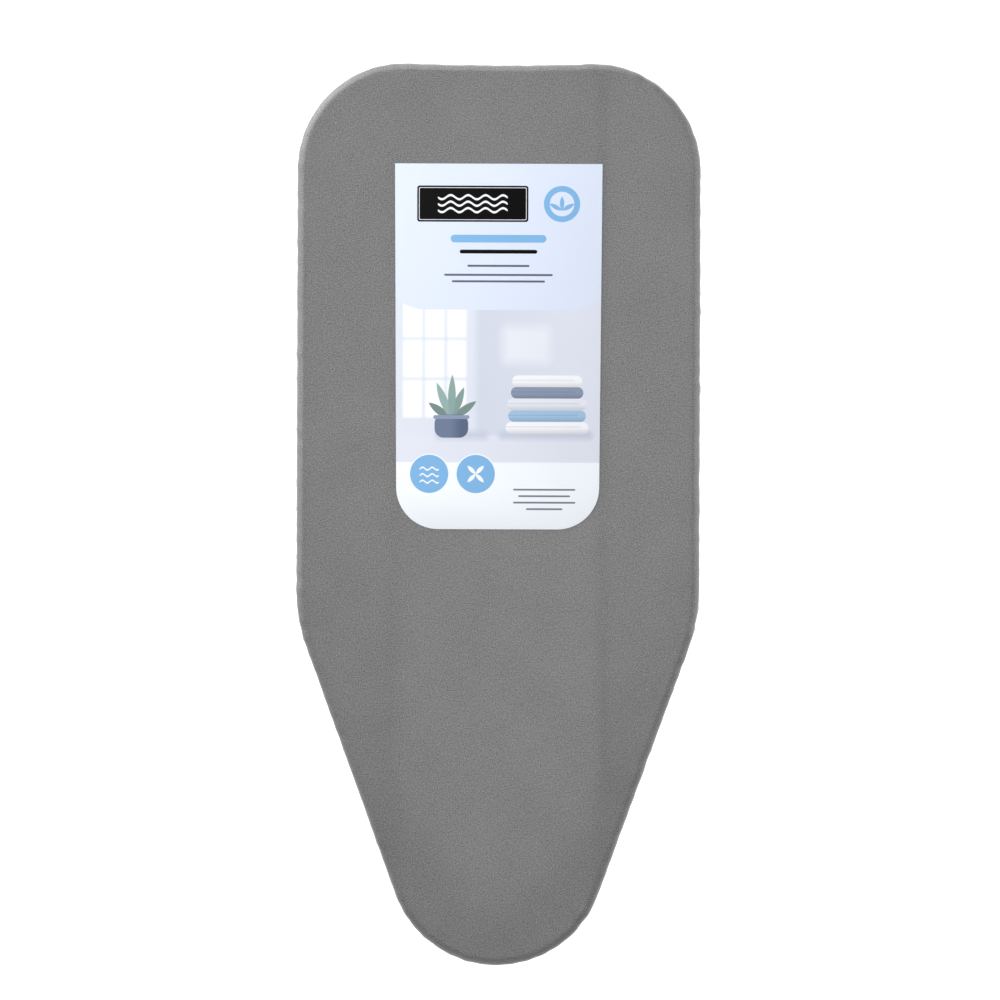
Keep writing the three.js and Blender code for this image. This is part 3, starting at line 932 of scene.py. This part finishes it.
def make_pad(material):
    """Felt slab under the cloth, thinner towards the edge where the cover draws it down."""
    low = pad_low.z
    top = pad_high.z - pad_drop
    margin = pad_inset + pad_edge_radius * 3
    profile = [(margin, top), (pad_inset + pad_edge_radius * 2, top)]
    turn_centre = (pad_inset + pad_edge_radius, top - pad_edge_radius)
    profile += arc(turn_centre, pad_edge_radius, QUARTER, 2 * QUARTER, pad_edge_points)
    profile += [(pad_inset, low + pad_chamfer), (pad_inset + pad_chamfer, low)]
    count = len(coarse_outline)
    rings = []
    for inset, height in profile:
        xy = coarse_outline - coarse_normals * inset
        z = low + (height - low) * (1 - crown_drop(xy) / (pad_high.z - low))
        rings.append(np.column_stack([xy, z]))
    inner, top_faces = filled_top(rings[0][:, :2], pad_grid, margin)
    inner_z = top - crown_drop(inner) * (top - low) / (pad_high.z - low)
    verts = np.concatenate(rings + [np.column_stack([inner, inner_z])])
    faces = ring_faces(len(rings), count)
    last = (len(rings) - 1) * count
    for face in top_faces:
        faces.append(tuple(i if i < count else i + last for i in face))
    faces += [tuple(i + last for i in tri) for tri in filled([rings[-1][:, :2]])]
    obj = make_object("felt_underlay", verts, faces)
    return finish_piece(obj, "board", "felt", material, "felt_pad")


# Deck, rails and rods

def make_deck(material):
    """Expanded-steel deck: staggered rows of long cells whose strands lean one way."""
    sheet = coarse_outline - coarse_normals * deck_inset
    half_x = cell_width / 2
    half_y = cell_length / 2
    reach = half_x * half_y / math.hypot(half_x, half_y)
    open_share = 1 - strand_width / 2 / reach
    shoulder = half_y * cell_shoulder_share
    cell = open_share * np.array([
        (half_x, -shoulder), (half_x, shoulder), (0, half_y),
        (-half_x, shoulder), (-half_x, -shoulder), (0, -half_y),
    ])
    cell[:, 0] *= 1 - cell_shoulder_share
    rows = math.ceil(half_length / half_y)
    columns = math.ceil(half_width / cell_width) + 1
    centres = []
    for row in range(-rows, rows + 1):
        stagger = 0 if row % 2 == 0 else half_x
        for column in range(-columns, columns + 1):
            centres.append((column * cell_width + stagger, row * half_y))
    centres = np.array(centres)
    fits = inset_of(centres) > deck_inset + deck_border + half_x
    loops = [sheet]
    tilt = [np.zeros(len(sheet))]
    for centre in centres[fits]:
        loops.append(centre + cell)
        tilt.append(-strand_tilt * np.sign(np.round(cell[:, 1] / MM, 3)))
    tilt = np.concatenate(tilt)
    obj = prism("expanded_deck", loops, deck_low.z + tilt, deck_high.z + tilt)
    return finish_piece(obj, "board", "frame_paint", material, "mesh_deck")


def rounded_loop(half_x, half_z, corner, steps=5):
    points = []
    for k, (sx, sz) in enumerate([(1, 1), (-1, 1), (-1, -1), (1, -1)]):
        centre = (sx * (half_x - corner), sz * (half_z - corner))
        points += arc(centre, corner, k * QUARTER, (k + 1) * QUARTER, steps)
    return np.array(points)


def end_at(x, towards):
    """Y where lines at x come to the rail's end distance from the edge, at the tail (1) or the nose (-1)."""
    inside = np.zeros(len(x))
    outside = np.full(len(x), towards * half_length)
    for _ in range(rail_end_halvings):
        middle = (inside + outside) / 2
        clear = inset_of(np.column_stack([x, middle])) > rail_end_inset
        inside = np.where(clear, middle, inside)
        outside = np.where(clear, outside, middle)
    return inside


def make_rail(node, material):
    middle = middle_of(node)
    half_x, _, half_z = half_of(node)
    outer = rounded_loop(half_x, half_z, rail_corner)
    inner = rounded_loop(half_x - rail_wall, half_z - rail_wall, rail_corner - rail_wall)
    rings = []
    for section, towards in ((outer, -1), (outer, 1), (inner, 1), (inner, -1)):
        x = middle.x + section[:, 0]
        rings.append(np.column_stack([x, end_at(x, towards), middle.z + section[:, 1]]))
    obj = make_object(f"{node}_bar", np.concatenate(rings), ring_faces(4, len(outer), closed=True))
    return finish_piece(obj, "board", "frame_paint", material, node)


def lay_across(obj, node):
    """Lays a piece turned about Z along X, in the middle of a CAD node's box."""
    obj.data.transform(Matrix.Translation(middle_of(node)) @ Matrix.Rotation(QUARTER, 4, "Y"))


def make_rod(node, material):
    """Round rod with a weld bead at each end."""
    radius = half_of(node)[2]
    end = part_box(node)[1].x + seat_gap
    profile = [(0, end)]
    for share in np.linspace(0, 1, weld_points):
        swell = math.cos(share * QUARTER)
        profile.append((radius + (weld_radius - radius) * swell, end - weld_length * share))
    obj = lathe(f"{node}_bar", mirrored(profile))
    lay_across(obj, node)
    return finish_piece(obj, "board", "frame_paint", material, node)


# Brackets, rivets and washers

across = Matrix(((0, 0, 1, 0), (1, 0, 0, 0), (0, 1, 0, 0), (0, 0, 0, 1)))


def beside_leg(along, outward):
    """Point in a bracket's side view, counted down the standing leg and outward from its axis."""
    return (
        along * math.sin(leg_splay) + outward * math.cos(leg_splay),
        outward * math.sin(leg_splay) - along * math.cos(leg_splay),
    )


def across_prism(name, loop, middle, width):
    obj = prism(name, [np.array(loop)], middle - width / 2, middle + width / 2)
    obj.data.transform(across)
    return obj


def cheek_loop(top, half):
    loop = [(-half, top), (-half, top - bracket_skirt)]
    loop += arc((0, 0), bracket_radius, *bracket_arc, bracket_arc_points)
    loop.append(beside_leg(stop_end, stop_offset))
    loop.append(beside_leg(stop_end, stop_offset + bracket_sheet))
    loop += [(half, top - bracket_skirt), (half, top)]
    return loop


def make_bracket(name, facing, material):
    """Pressed bracket: two cheeks, the plate under the rail and the stop wall."""
    pivot = middle_of(f"{name}_pivot_rivet")
    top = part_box(f"{name}_bracket")[1].z - pivot.z
    half_x, half_y, _ = half_of(f"{name}_bracket")
    width = 2 * half_x
    near = stop_offset
    far = stop_offset + bracket_sheet
    corners = [(stop_start, near), (stop_end, near), (stop_end, far), (stop_start, far)]
    wall = [beside_leg(*corner) for corner in corners]
    under = top - bracket_sheet
    plate = [(-half_y, under), (half_y, under), (half_y, top), (-half_y, top)]
    obj = across_prism(f"{name}_mount", plate, 0, width - bracket_sheet)
    others = [across_prism("wall", wall, 0, width - bracket_sheet)]
    for side in (-1, 1):
        middle = side * (width - bracket_sheet) / 2
        others.append(across_prism("cheek", cheek_loop(top, half_y), middle, bracket_sheet))
    united(obj, others)
    soften(obj, bracket_bevel)
    obj.data.transform(Matrix.Translation(pivot) @ turned_to(facing))
    return finish_piece(obj, "board", "leg_paint", material, f"{name}_bracket")


def dome(radius, base, height, steps=6):
    """Half profile of a domed head from its pole to its rim."""
    return [
        (radius * math.sin(a), base + height * math.cos(a))
        for a in np.linspace(0, QUARTER, steps)
    ]


def make_pivot_rivet(name, material):
    node = f"{name}_pivot_rivet"
    seat = half_of(f"{name}_bracket")[0] + head_gap
    base = seat + pivot_head_rim
    profile = dome(pivot_head, base, half_of(node)[0] - base)
    profile += [(pivot_head, seat), (pivot_radius, seat)]
    obj = lathe(f"{name}_pivot_pin", mirrored(profile))
    lay_across(obj, node)
    return finish_piece(obj, "board", "rivet_steel", material, node)


def make_washer(node, material):
    half, outer, _ = half_of(node)
    inner = pivot_radius + washer_play
    profile = [(inner, half), (outer - washer_edge, half), (outer, half - washer_edge)]
    obj = lathe(f"{node}_ring", mirrored(profile), ring=True)
    lay_across(obj, node)
    return finish_piece(obj, "board", "washer_nylon", material, node)


def make_mount_rivet(node, material):
    """Blind rivet, its domed head with a pulled stem in the middle."""
    low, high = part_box(node)
    seat = rim_z - seat_gap - bracket_sheet - head_gap
    bulb = rim_z + rail_wall
    stem = rivet_radius * stem_share
    profile = [(0, low.z + stem_sink), (stem, low.z + stem_sink), (stem * stem_flare_share, low.z)]
    for radius, height in dome(rivet_head, 0, 1)[2:]:
        fall = (seat - low.z) * height * rivet_dome_share
        profile.append((radius, seat - fall - rivet_head_rim))
    profile += [(rivet_head, seat), (rivet_radius, seat), (rivet_radius, bulb)]
    profile.append((rivet_head * bulb_share, bulb + seat_gap))
    profile.append((rivet_head * bulb_end_share, high.z - bulb_edge))
    profile += [(rivet_radius, high.z), (0, high.z)]
    obj = lathe(f"{node}_pop", profile, segments=rivet_sides)
    middle = middle_of(node)
    obj.data.transform(Matrix.Translation((middle.x, middle.y, 0)))
    return finish_piece(obj, "board", "rivet_steel", material, node)


# Legs and feet

def make_leg(name, facing, material):
    """Bent tube from pivot to pivot, splayed as it stands."""
    pivots = [middle_of(f"{name}_{side}_pivot_rivet") for side in ("left", "right")]
    middle = (pivots[0] + pivots[1]) / 2
    half = abs(pivots[1].x - pivots[0].x) / 2
    reach = (middle.z - bar_height) / math.cos(leg_splay)
    out = half + leg_flare
    corners = [
        ((-half, 0, leg_end), 0),
        ((-half, 0, -leg_flare_start), leg_flare_radius),
        ((-out, 0, -reach), leg_bend_radius),
        ((out, 0, -reach), leg_bend_radius),
        ((half, 0, -leg_flare_start), leg_flare_radius),
        ((half, 0, leg_end), 0),
    ]
    place = Matrix.Translation(middle) @ turned_to(facing) @ Matrix.Rotation(leg_splay, 4, "X")
    obj = tube(f"{name}_leg_tube", bent_line(corners), leg_radius, leg_wall, (0, 1, 0))
    obj.data.transform(place)
    return finish_piece(obj, f"{name}_leg_set", "leg_paint", material, f"{name}_leg")


def sleeve_section(shrink):
    """Outer loop of a foot sleeve, round above and square on its sole, drawn in by shrink."""
    points = []
    for angle in np.linspace(0, TURN, foot_points, endpoint=False):
        c = math.cos(angle)
        s = math.sin(angle)
        reach = foot_radius - shrink
        side = (sole_half - shrink) / max(abs(c), hair)
        if (s < 0 and side > reach - sole_margin) or s < -sole_sine:
            floor = (bar_height - shrink) / max(-s, hair)
            reach = (side**-sole_power + floor**-sole_power) ** (-1 / sole_power)
        points.append((reach * c, reach * s))
    return np.array(points)


def foot_stations(half):
    """Along a sleeve of this half length: where its section changes, and how far it is drawn in there."""
    lip = foot_lip * lip_share
    floor_half_width = groove_half * groove_floor_share
    inside = half - 3 * foot_lip
    stations = [(-half, foot_lip), (-half + lip, lip), (-half + foot_lip, 0)]
    for k in range(groove_count):
        centre = -inside + 2 * inside * k / (groove_count - 1)
        stations += [(centre - groove_half, 0), (centre - floor_half_width, groove_depth)]
        stations += [(centre + floor_half_width, groove_depth), (centre + groove_half, 0)]
    return stations + [(half - foot_lip, 0), (half - lip, lip), (half, foot_lip)]


def make_foot(node, body, material):
    """Ribbed rubber sleeve with a flat sole."""
    middle = middle_of(node)
    half = half_of(node)[0]
    rings = []
    for x, shrink in foot_stations(half):
        rings.append(np.column_stack([np.full(foot_points, x), sleeve_section(shrink)]))
    angles = np.linspace(0, TURN, foot_points, endpoint=False)
    bore = np.column_stack([foot_bore * np.cos(angles), foot_bore * np.sin(angles)])
    for x in (half, -half):
        rings.append(np.column_stack([np.full(foot_points, x), bore]))
    verts = np.concatenate(rings) + np.array([middle.x, middle.y, bar_height])
    faces = ring_faces(len(rings), foot_points, closed=True)
    obj = make_object(f"{node}_sleeve", verts, faces, foot_sharp_angle)
    return finish_piece(obj, body, "foot_rubber", material, node)


# Card

def make_card(material):
    low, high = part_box("retail_card")
    half_top = half_of("retail_card")[0]
    corner_x = half_top - card_taper - card_corner
    corner_y = low.y + card_corner
    loop = [(half_top, high.y), (-half_top, high.y)]
    for start, side in ((2 * QUARTER, -1), (3 * QUARTER, 1)):
        centre = (side * corner_x, corner_y)
        loop += arc(centre, card_corner, start, start + QUARTER, card_corner_points)
    loop = np.array(loop) + np.array([(low.x + high.x) / 2, 0])
    obj = prism("printed_card", [loop], low.z, high.z - card_slack)
    soften(obj, card_edge)
    return finish_piece(obj, "board", "card_stock", material, "retail_card")


# Materials

class Shader:
    """Short calls for one material's nodes."""

    def __init__(self, name, roughness, metallic=0):
        self.material = bpy.data.materials.new(name)
        self.material.use_nodes = True
        self.tree = self.material.node_tree
        self.surface = self.tree.nodes["Principled BSDF"]
        self.surface.inputs["Roughness"].default_value = roughness
        self.surface.inputs["Metallic"].default_value = metallic

    def node(self, kind, **settings):
        made = self.tree.nodes.new(kind)
        for key, value in settings.items():
            setattr(made, key, value)
        return made

    def put(self, socket, value):
        if isinstance(value, bpy.types.NodeSocket):
            self.tree.links.new(value, socket)
        elif value is not None:
            socket.default_value = value

    def math(self, operation, a, b=None, c=None, clamp=False):
        made = self.node("ShaderNodeMath", operation=operation, use_clamp=clamp)
        for socket, value in zip(made.inputs, (a, b, c)):
            self.put(socket, value)
        return made.outputs[0]

    def vector_math(self, operation, a, b=None, scale=None):
        made = self.node("ShaderNodeVectorMath", operation=operation)
        self.put(made.inputs[0], a)
        self.put(made.inputs[1], b)
        if scale is not None:
            self.put(made.inputs["Scale"], scale)
        return made.outputs["Vector"]

    def split(self, vector):
        made = self.node("ShaderNodeSeparateXYZ")
        self.put(made.inputs[0], vector)
        return made.outputs

    def join(self, x, y):
        made = self.node("ShaderNodeCombineXYZ")
        for socket, value in zip(made.inputs, (x, y)):
            self.put(socket, value)
        return made.outputs[0]

    def object_mm(self):
        """Object coordinates in millimetres."""
        coords = self.node("ShaderNodeTexCoord").outputs["Object"]
        return self.vector_math("SCALE", coords, scale=1 / MM)

    def uv_mm(self, layer):
        coords = self.node("ShaderNodeUVMap", uv_map=layer).outputs[0]
        return self.vector_math("SCALE", coords, scale=1 / MM)

    def noise(self, vector, pitch, detail, stretch=even):
        """Noise whose features are about pitch millimetres wide, drawn out along each axis by stretch."""
        made = self.node("ShaderNodeTexNoise")
        scaled = self.vector_math("DIVIDE", vector, tuple(pitch * s for s in stretch))
        self.put(made.inputs["Vector"], scaled)
        made.inputs["Scale"].default_value = 1.0
        made.inputs["Detail"].default_value = detail
        return made.outputs[0]

    def mix(self, factor, a, b):
        made = self.node("ShaderNodeMix", data_type="RGBA")
        self.put(made.inputs[0], factor)
        self.put(made.inputs[6], a)
        self.put(made.inputs[7], b)
        return made.outputs[2]

    def tinted(self, colour, level):
        """Colour times a level that varies about 1."""
        return self.vector_math("SCALE", colour, scale=level)

    def level(self, *terms):
        """1 plus each (noise, weight) counted from the noise's middle."""
        total = 1.0
        for value, weight in terms:
            total = self.math("MULTIPLY_ADD", self.math("SUBTRACT", value, 0.5), weight, total)
        return total

    def layered(self, place, layers):
        """The noises of some layers, and the tone that they add up to."""
        noises = [self.noise(place, pitch, detail, stretch) for pitch, detail, stretch, _ in layers]
        weights = [layer[-1] for layer in layers]
        return noises, self.level(*zip(noises, weights))

    def settings(self, values):
        """Sets plain numbers of the surface by their names."""
        for name, value in values.items():
            self.surface.inputs[name].default_value = value

    def bump(self, height, distance, strength):
        made = self.node("ShaderNodeBump")
        made.inputs["Strength"].default_value = strength
        made.inputs["Distance"].default_value = distance
        self.put(made.inputs["Height"], height)
        self.put(self.surface.inputs["Normal"], made.outputs[0])

    def colour(self, value):
        self.put(self.surface.inputs["Base Color"], value)


def cloth_material():
    """Grey cotton in a plain weave under a thin heat-proof coat, its threads uneven in tone and thickness."""
    s = Shader("grey_cotton", cloth_roughness)
    uv = s.uv_mm("cloth")
    noises, level = s.layered(uv, cloth_layers)
    lint = s.math("MULTIPLY_ADD", s.noise(uv, lint_pitch, 0), lint_gain, lint_cut, clamp=True)
    s.colour(s.mix(lint, s.tinted(cloth_colour, level), lint_colour))
    parts = s.split(uv)
    threads = [s.math("SINE", s.math("MULTIPLY", part, math.pi / thread_mm)) for part in parts[:2]]
    warp, weft, grain = noises[:3]
    rough = s.math("ADD", s.math("ADD", warp, weft), grain)
    s.bump(
        s.math("MULTIPLY_ADD", s.math("MULTIPLY", *threads), weave_share, rough),
        cloth_relief,
        cloth_relief_strength,
    )
    s.settings(cloth_surface)
    return s.material


def felt_material():
    s = Shader("pale_felt", 0.95)
    noises, level = s.layered(s.object_mm(), felt_layers)
    s.colour(s.tinted(felt_colour, level))
    s.bump(s.math("ADD", *noises[:2]), felt_relief, 0.9)
    s.settings({"Sheen Weight": 0.4})
    return s.material


def noisy_material(name, colour, layers, relief, strength, roughness, swing=0, metallic=0):
    """Material with fine noise in its relief, and coarse noise that swings its roughness about a mean."""
    s = Shader(name, roughness, metallic)
    noises, level = s.layered(s.object_mm(), layers)
    s.colour(s.tinted(colour, level))
    if swing:
        varied = s.math("MULTIPLY_ADD", noises[-1], swing, roughness - swing / 2)
        s.put(s.surface.inputs["Roughness"], varied)
    s.bump(noises[0], relief, strength)
    return s.material


def elastic_material():
    """White woven tape."""
    return noisy_material(
        "white_elastic", elastic_colour, elastic_layers, elastic_relief, strength=0.8, roughness=0.85
    )


def paint_material(name, colour):
    """Powder coat: a faint orange peel, with a little dust in it."""
    return noisy_material(
        name, colour, paint_layers, paint_relief, strength=0.6, roughness=0.42, swing=0.16
    )


def steel_material():
    return noisy_material(
        "plated_steel",
        steel_colour,
        steel_layers,
        steel_relief,
        strength=0.5,
        roughness=0.35,
        swing=0.3,
        metallic=1,
    )


def plastic_material(name, colour, roughness, grain_mm):
    fine, broad = plastic_weights
    layers = ((grain_mm, 3, even, fine), (plastic_broad_pitch, 2, even, broad))
    return noisy_material(
        name, colour, layers, plastic_relief, strength=0.7, roughness=roughness, swing=0.2
    )


def printed(tone):
    """Linear colour of a printed tone given as 0 to 255."""
    return (*(print_level * (x / 255) ** print_gamma for x in tone), 1)


class Print:
    """Flat shapes painted one over another, in millimetres from the middle of the card's top edge."""

    def __init__(self, shader, place, base):
        self.s = shader
        self.place = place
        self.colour = base

    def plate(self, centre, half, radius, fade=print_fade, place=None):
        """Coverage of a rectangle with round corners and an edge that fades."""
        s = self.s
        offset = s.vector_math("SUBTRACT", place or self.place, (*centre, 0))
        beyond = s.vector_math("ABSOLUTE", offset)
        beyond = s.vector_math("SUBTRACT", beyond, (half[0] - radius, half[1] - radius, 0))
        beyond = s.vector_math("MAXIMUM", beyond, (0, 0, 0))
        length = s.node("ShaderNodeVectorMath", operation="LENGTH")
        s.put(length.inputs[0], beyond)
        return s.math("MULTIPLY_ADD", length.outputs["Value"], -1 / fade, 0.5 + radius / fade, clamp=True)

    def wave(self, centre, half_length, swing, pitch, half_width):
        """Coverage of a wavy line."""
        s = self.s
        phase = s.math("MULTIPLY", s.split(self.place)[0], TURN / pitch)
        shift = s.math("MULTIPLY", s.math("SINE", phase), swing)
        place = s.vector_math("ADD", self.place, s.join(0.0, shift))
        return self.plate(centre, (half_length, half_width), half_width, place=place)

    def leaf(self, root, length, width, angle):
        """Coverage of a pointed leaf that grows from its root along an angle."""
        s = self.s
        turned = s.node("ShaderNodeVectorRotate", rotation_type="Z_AXIS")
        s.put(turned.inputs["Vector"], self.place)
        turned.inputs["Center"].default_value = (*root, 0)
        turned.inputs["Angle"].default_value = angle
        radius = (length**2 + width**2) / (4 * width)
        masks = []
        for side in (-1, 1):
            middle = (root[0] + length / 2, root[1] + side * (radius - width / 2))
            masks.append(self.plate(middle, (radius, radius), radius, place=turned.outputs[0]))
        return s.math("MINIMUM", *masks)

    def paint(self, mask, tone):
        self.colour = self.s.mix(mask, self.colour, printed(tone))

    def shade(self, body, mask, tone):
        """Paints only where a body painted before also covers."""
        self.paint(self.s.math("MULTIPLY", body, mask), tone)

    def plates(self, rows):
        for tone, *shape in rows:
            self.paint(self.plate(*shape), tone)


def paint_window(page):
    """A window out of focus."""
    page.plates(window_plates)
    for across in pane_across:
        for down in pane_down:
            page.paint(page.plate((across, down), *pane_shape), pane_tone)


def paint_linen(page):
    """A stack of folded linen, each piece shaded at its lower edge and along its fold."""
    for half, down, tone in linens:
        body = page.plate((linen_across, down), (half, linen_half), linen_corner)
        page.paint(body, tone)
        for (across, drop), (wider, thick), corner, fade in linen_shades:
            mask = page.plate((across, down + drop), (half + wider, thick), corner, fade)
            page.shade(body, mask, [x * linen_shade_share for x in tone])


def paint_plant(page):
    """A pot with a sprig in it."""
    page.plates(pot_shadow)
    for angle, length, level in sprig:
        leaf = page.leaf(sprig_root, length, sprig_width, angle)
        page.paint(leaf, [x * level for x in leaf_green])
    pot = page.plate(*pot_body)
    page.paint(pot, pot_tone)
    page.shade(pot, page.plate(*pot_shade), pot_shade_tone)
    page.plates(pot_rim)


def card_material():
    """Printed card: a pale heading over a picture of folded linen by a window, with two round badges."""
    s = Shader("printed_card_stock", 0.5)
    s.settings(card_surface)
    mm = s.object_mm()
    parts = s.split(mm)
    low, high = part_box("retail_card")
    across = s.math("SUBTRACT", parts[0], (low.x + high.x) / 2 / MM)
    down = s.math("SUBTRACT", high.y / MM, parts[1])
    fade = s.math("MULTIPLY_ADD", across, 1 / wall_fade_mm, 0.5, clamp=True)
    page = Print(s, s.join(across, down), s.mix(fade, printed(wall_left), printed(wall_right)))
    paint_window(page)
    page.plates(room_plates)
    paint_linen(page)
    paint_plant(page)
    page.plates(heading_plates)
    page.plates(foot_plates)
    for across_wave, downs, *shape in waves:
        for down_wave in downs:
            page.paint(page.wave((across_wave, down_wave), *shape), white)
    for root, length, width, angles, tone in leaves:
        for angle in angles:
            page.paint(page.leaf(root, length, width, angle), tone)
    noises, level = s.layered(mm, card_layers)
    s.colour(s.tinted(page.colour, level))
    s.bump(noises[0], card_relief, 0.4)
    return s.material


# Assembly

def make_leg_set(end, facing, leg_paint, steel, nylon, rubber):
    """One leg with its brackets, fasteners and feet."""
    make_leg(end, facing, leg_paint)
    for side in ("left", "right"):
        name = f"{end}_{side}"
        make_bracket(name, facing, leg_paint)
        make_pivot_rivet(name, steel)
        for place in ("outer", "inner"):
            make_washer(f"{name}_{place}_washer", nylon)
        for place in ("end", "middle"):
            make_mount_rivet(f"{name}_{place}_rivet", steel)
        make_foot(f"{name}_foot", f"{end}_leg_set", rubber)


def make_frame(frame_paint):
    """Deck, rails and rods, with the rim tube's own node painted as they are."""
    make_deck(frame_paint)
    for side in ("left", "right"):
        make_rail(f"{side}_rail", frame_paint)
    for place in ("rear", "middle", "front"):
        make_rod(f"{place}_cross_rod", frame_paint)
    nodes["rim_tube"].data.materials.clear()
    nodes["rim_tube"].data.materials.append(frame_paint)


def make_all():
    cover = make_cover(cloth_material())
    stitching = make_stitching(plastic_material("grey_thread", thread_colour, 0.7, 0.2))
    make_elastic(elastic_material())
    pad = make_pad(felt_material())
    make_frame(paint_material("frame_powder_coat", frame_colour))
    leg_paint = paint_material("leg_powder_coat", leg_colour)
    steel = steel_material()
    nylon = plastic_material("natural_nylon", nylon_colour, 0.5, 0.5)
    rubber = plastic_material("black_rubber", rubber_colour, 0.75, 0.4)
    for end, facing in (("rear", 1), ("front", -1)):
        make_leg_set(end, facing, leg_paint, steel, nylon, rubber)
    make_card(card_material())
    turned_over = profile_length(cover_profile()) - top_border


# Floor, light and camera

def make_floor():
    """Pale floor that lets the light and the eye through from below."""
    s = Shader("pale_floor", 0.9)
    _, level = s.layered(s.object_mm(), floor_layers)
    s.colour(s.tinted(floor_tone, level))
    s.settings({"Emission Color": (1, 1, 1, 1), "Emission Strength": floor_glow})
    clear = s.node("ShaderNodeBsdfTransparent")
    mixed = s.node("ShaderNodeMixShader")
    s.put(mixed.inputs[0], s.node("ShaderNodeNewGeometry").outputs["Backfacing"])
    s.put(mixed.inputs[1], s.surface.outputs[0])
    s.put(mixed.inputs[2], clear.outputs[0])
    s.put(s.tree.nodes["Material Output"].inputs["Surface"], mixed.outputs[0])
    corners = [(-1, -1, 0), (1, -1, 0), (1, 1, 0), (-1, 1, 0)]
    verts = [(x * floor_half, y * floor_half, z) for x, y, z in corners]
    floor = make_object("floor", verts, [(0, 1, 2, 3)], closed=False)
    floor.data.materials.append(s.material)


def make_light(name, place, size, aim, power):
    data = bpy.data.lights.new(name, "AREA")
    data.shape = "RECTANGLE"
    data.size = size[0]
    data.size_y = size[1]
    data.energy = power
    light = bpy.data.objects.new(name, data)
    light.location = place
    light.rotation_mode = "QUATERNION"
    light.rotation_quaternion = (Vector(aim) - Vector(place)).to_track_quat("-Z", "Y")
    light.visible_camera = False
    bpy.context.scene.collection.objects.link(light)


def make_camera():
    data = bpy.data.cameras.new("camera")
    data.lens = lens_mm
    data.sensor_width = sensor_mm
    camera = bpy.data.objects.new("camera", data)
    distance = photo_width_px * photo_scale * lens_mm / sensor_mm
    middle = photo_width_px / 2
    camera.location = (
        (middle - board_middle_px[0]) * photo_scale,
        (board_middle_px[1] - middle) * photo_scale,
        surface_z - edge_radius + distance,
    )
    camera.rotation_euler = (0, 0, photo_roll)
    bpy.context.scene.collection.objects.link(camera)
    bpy.context.scene.camera = camera


def make_world(strength):
    world = bpy.data.worlds.new("studio")
    world.use_nodes = True
    background = world.node_tree.nodes["Background"]
    background.inputs["Color"].default_value = (1, 1, 1, 1)
    background.inputs["Strength"].default_value = strength
    bpy.context.scene.world = world


make_all()
make_floor()
make_world(world_strength)
for name, light in lights.items():
    make_light(name, *light)
make_camera()
bpy.context.scene.view_settings.view_transform = "Standard"
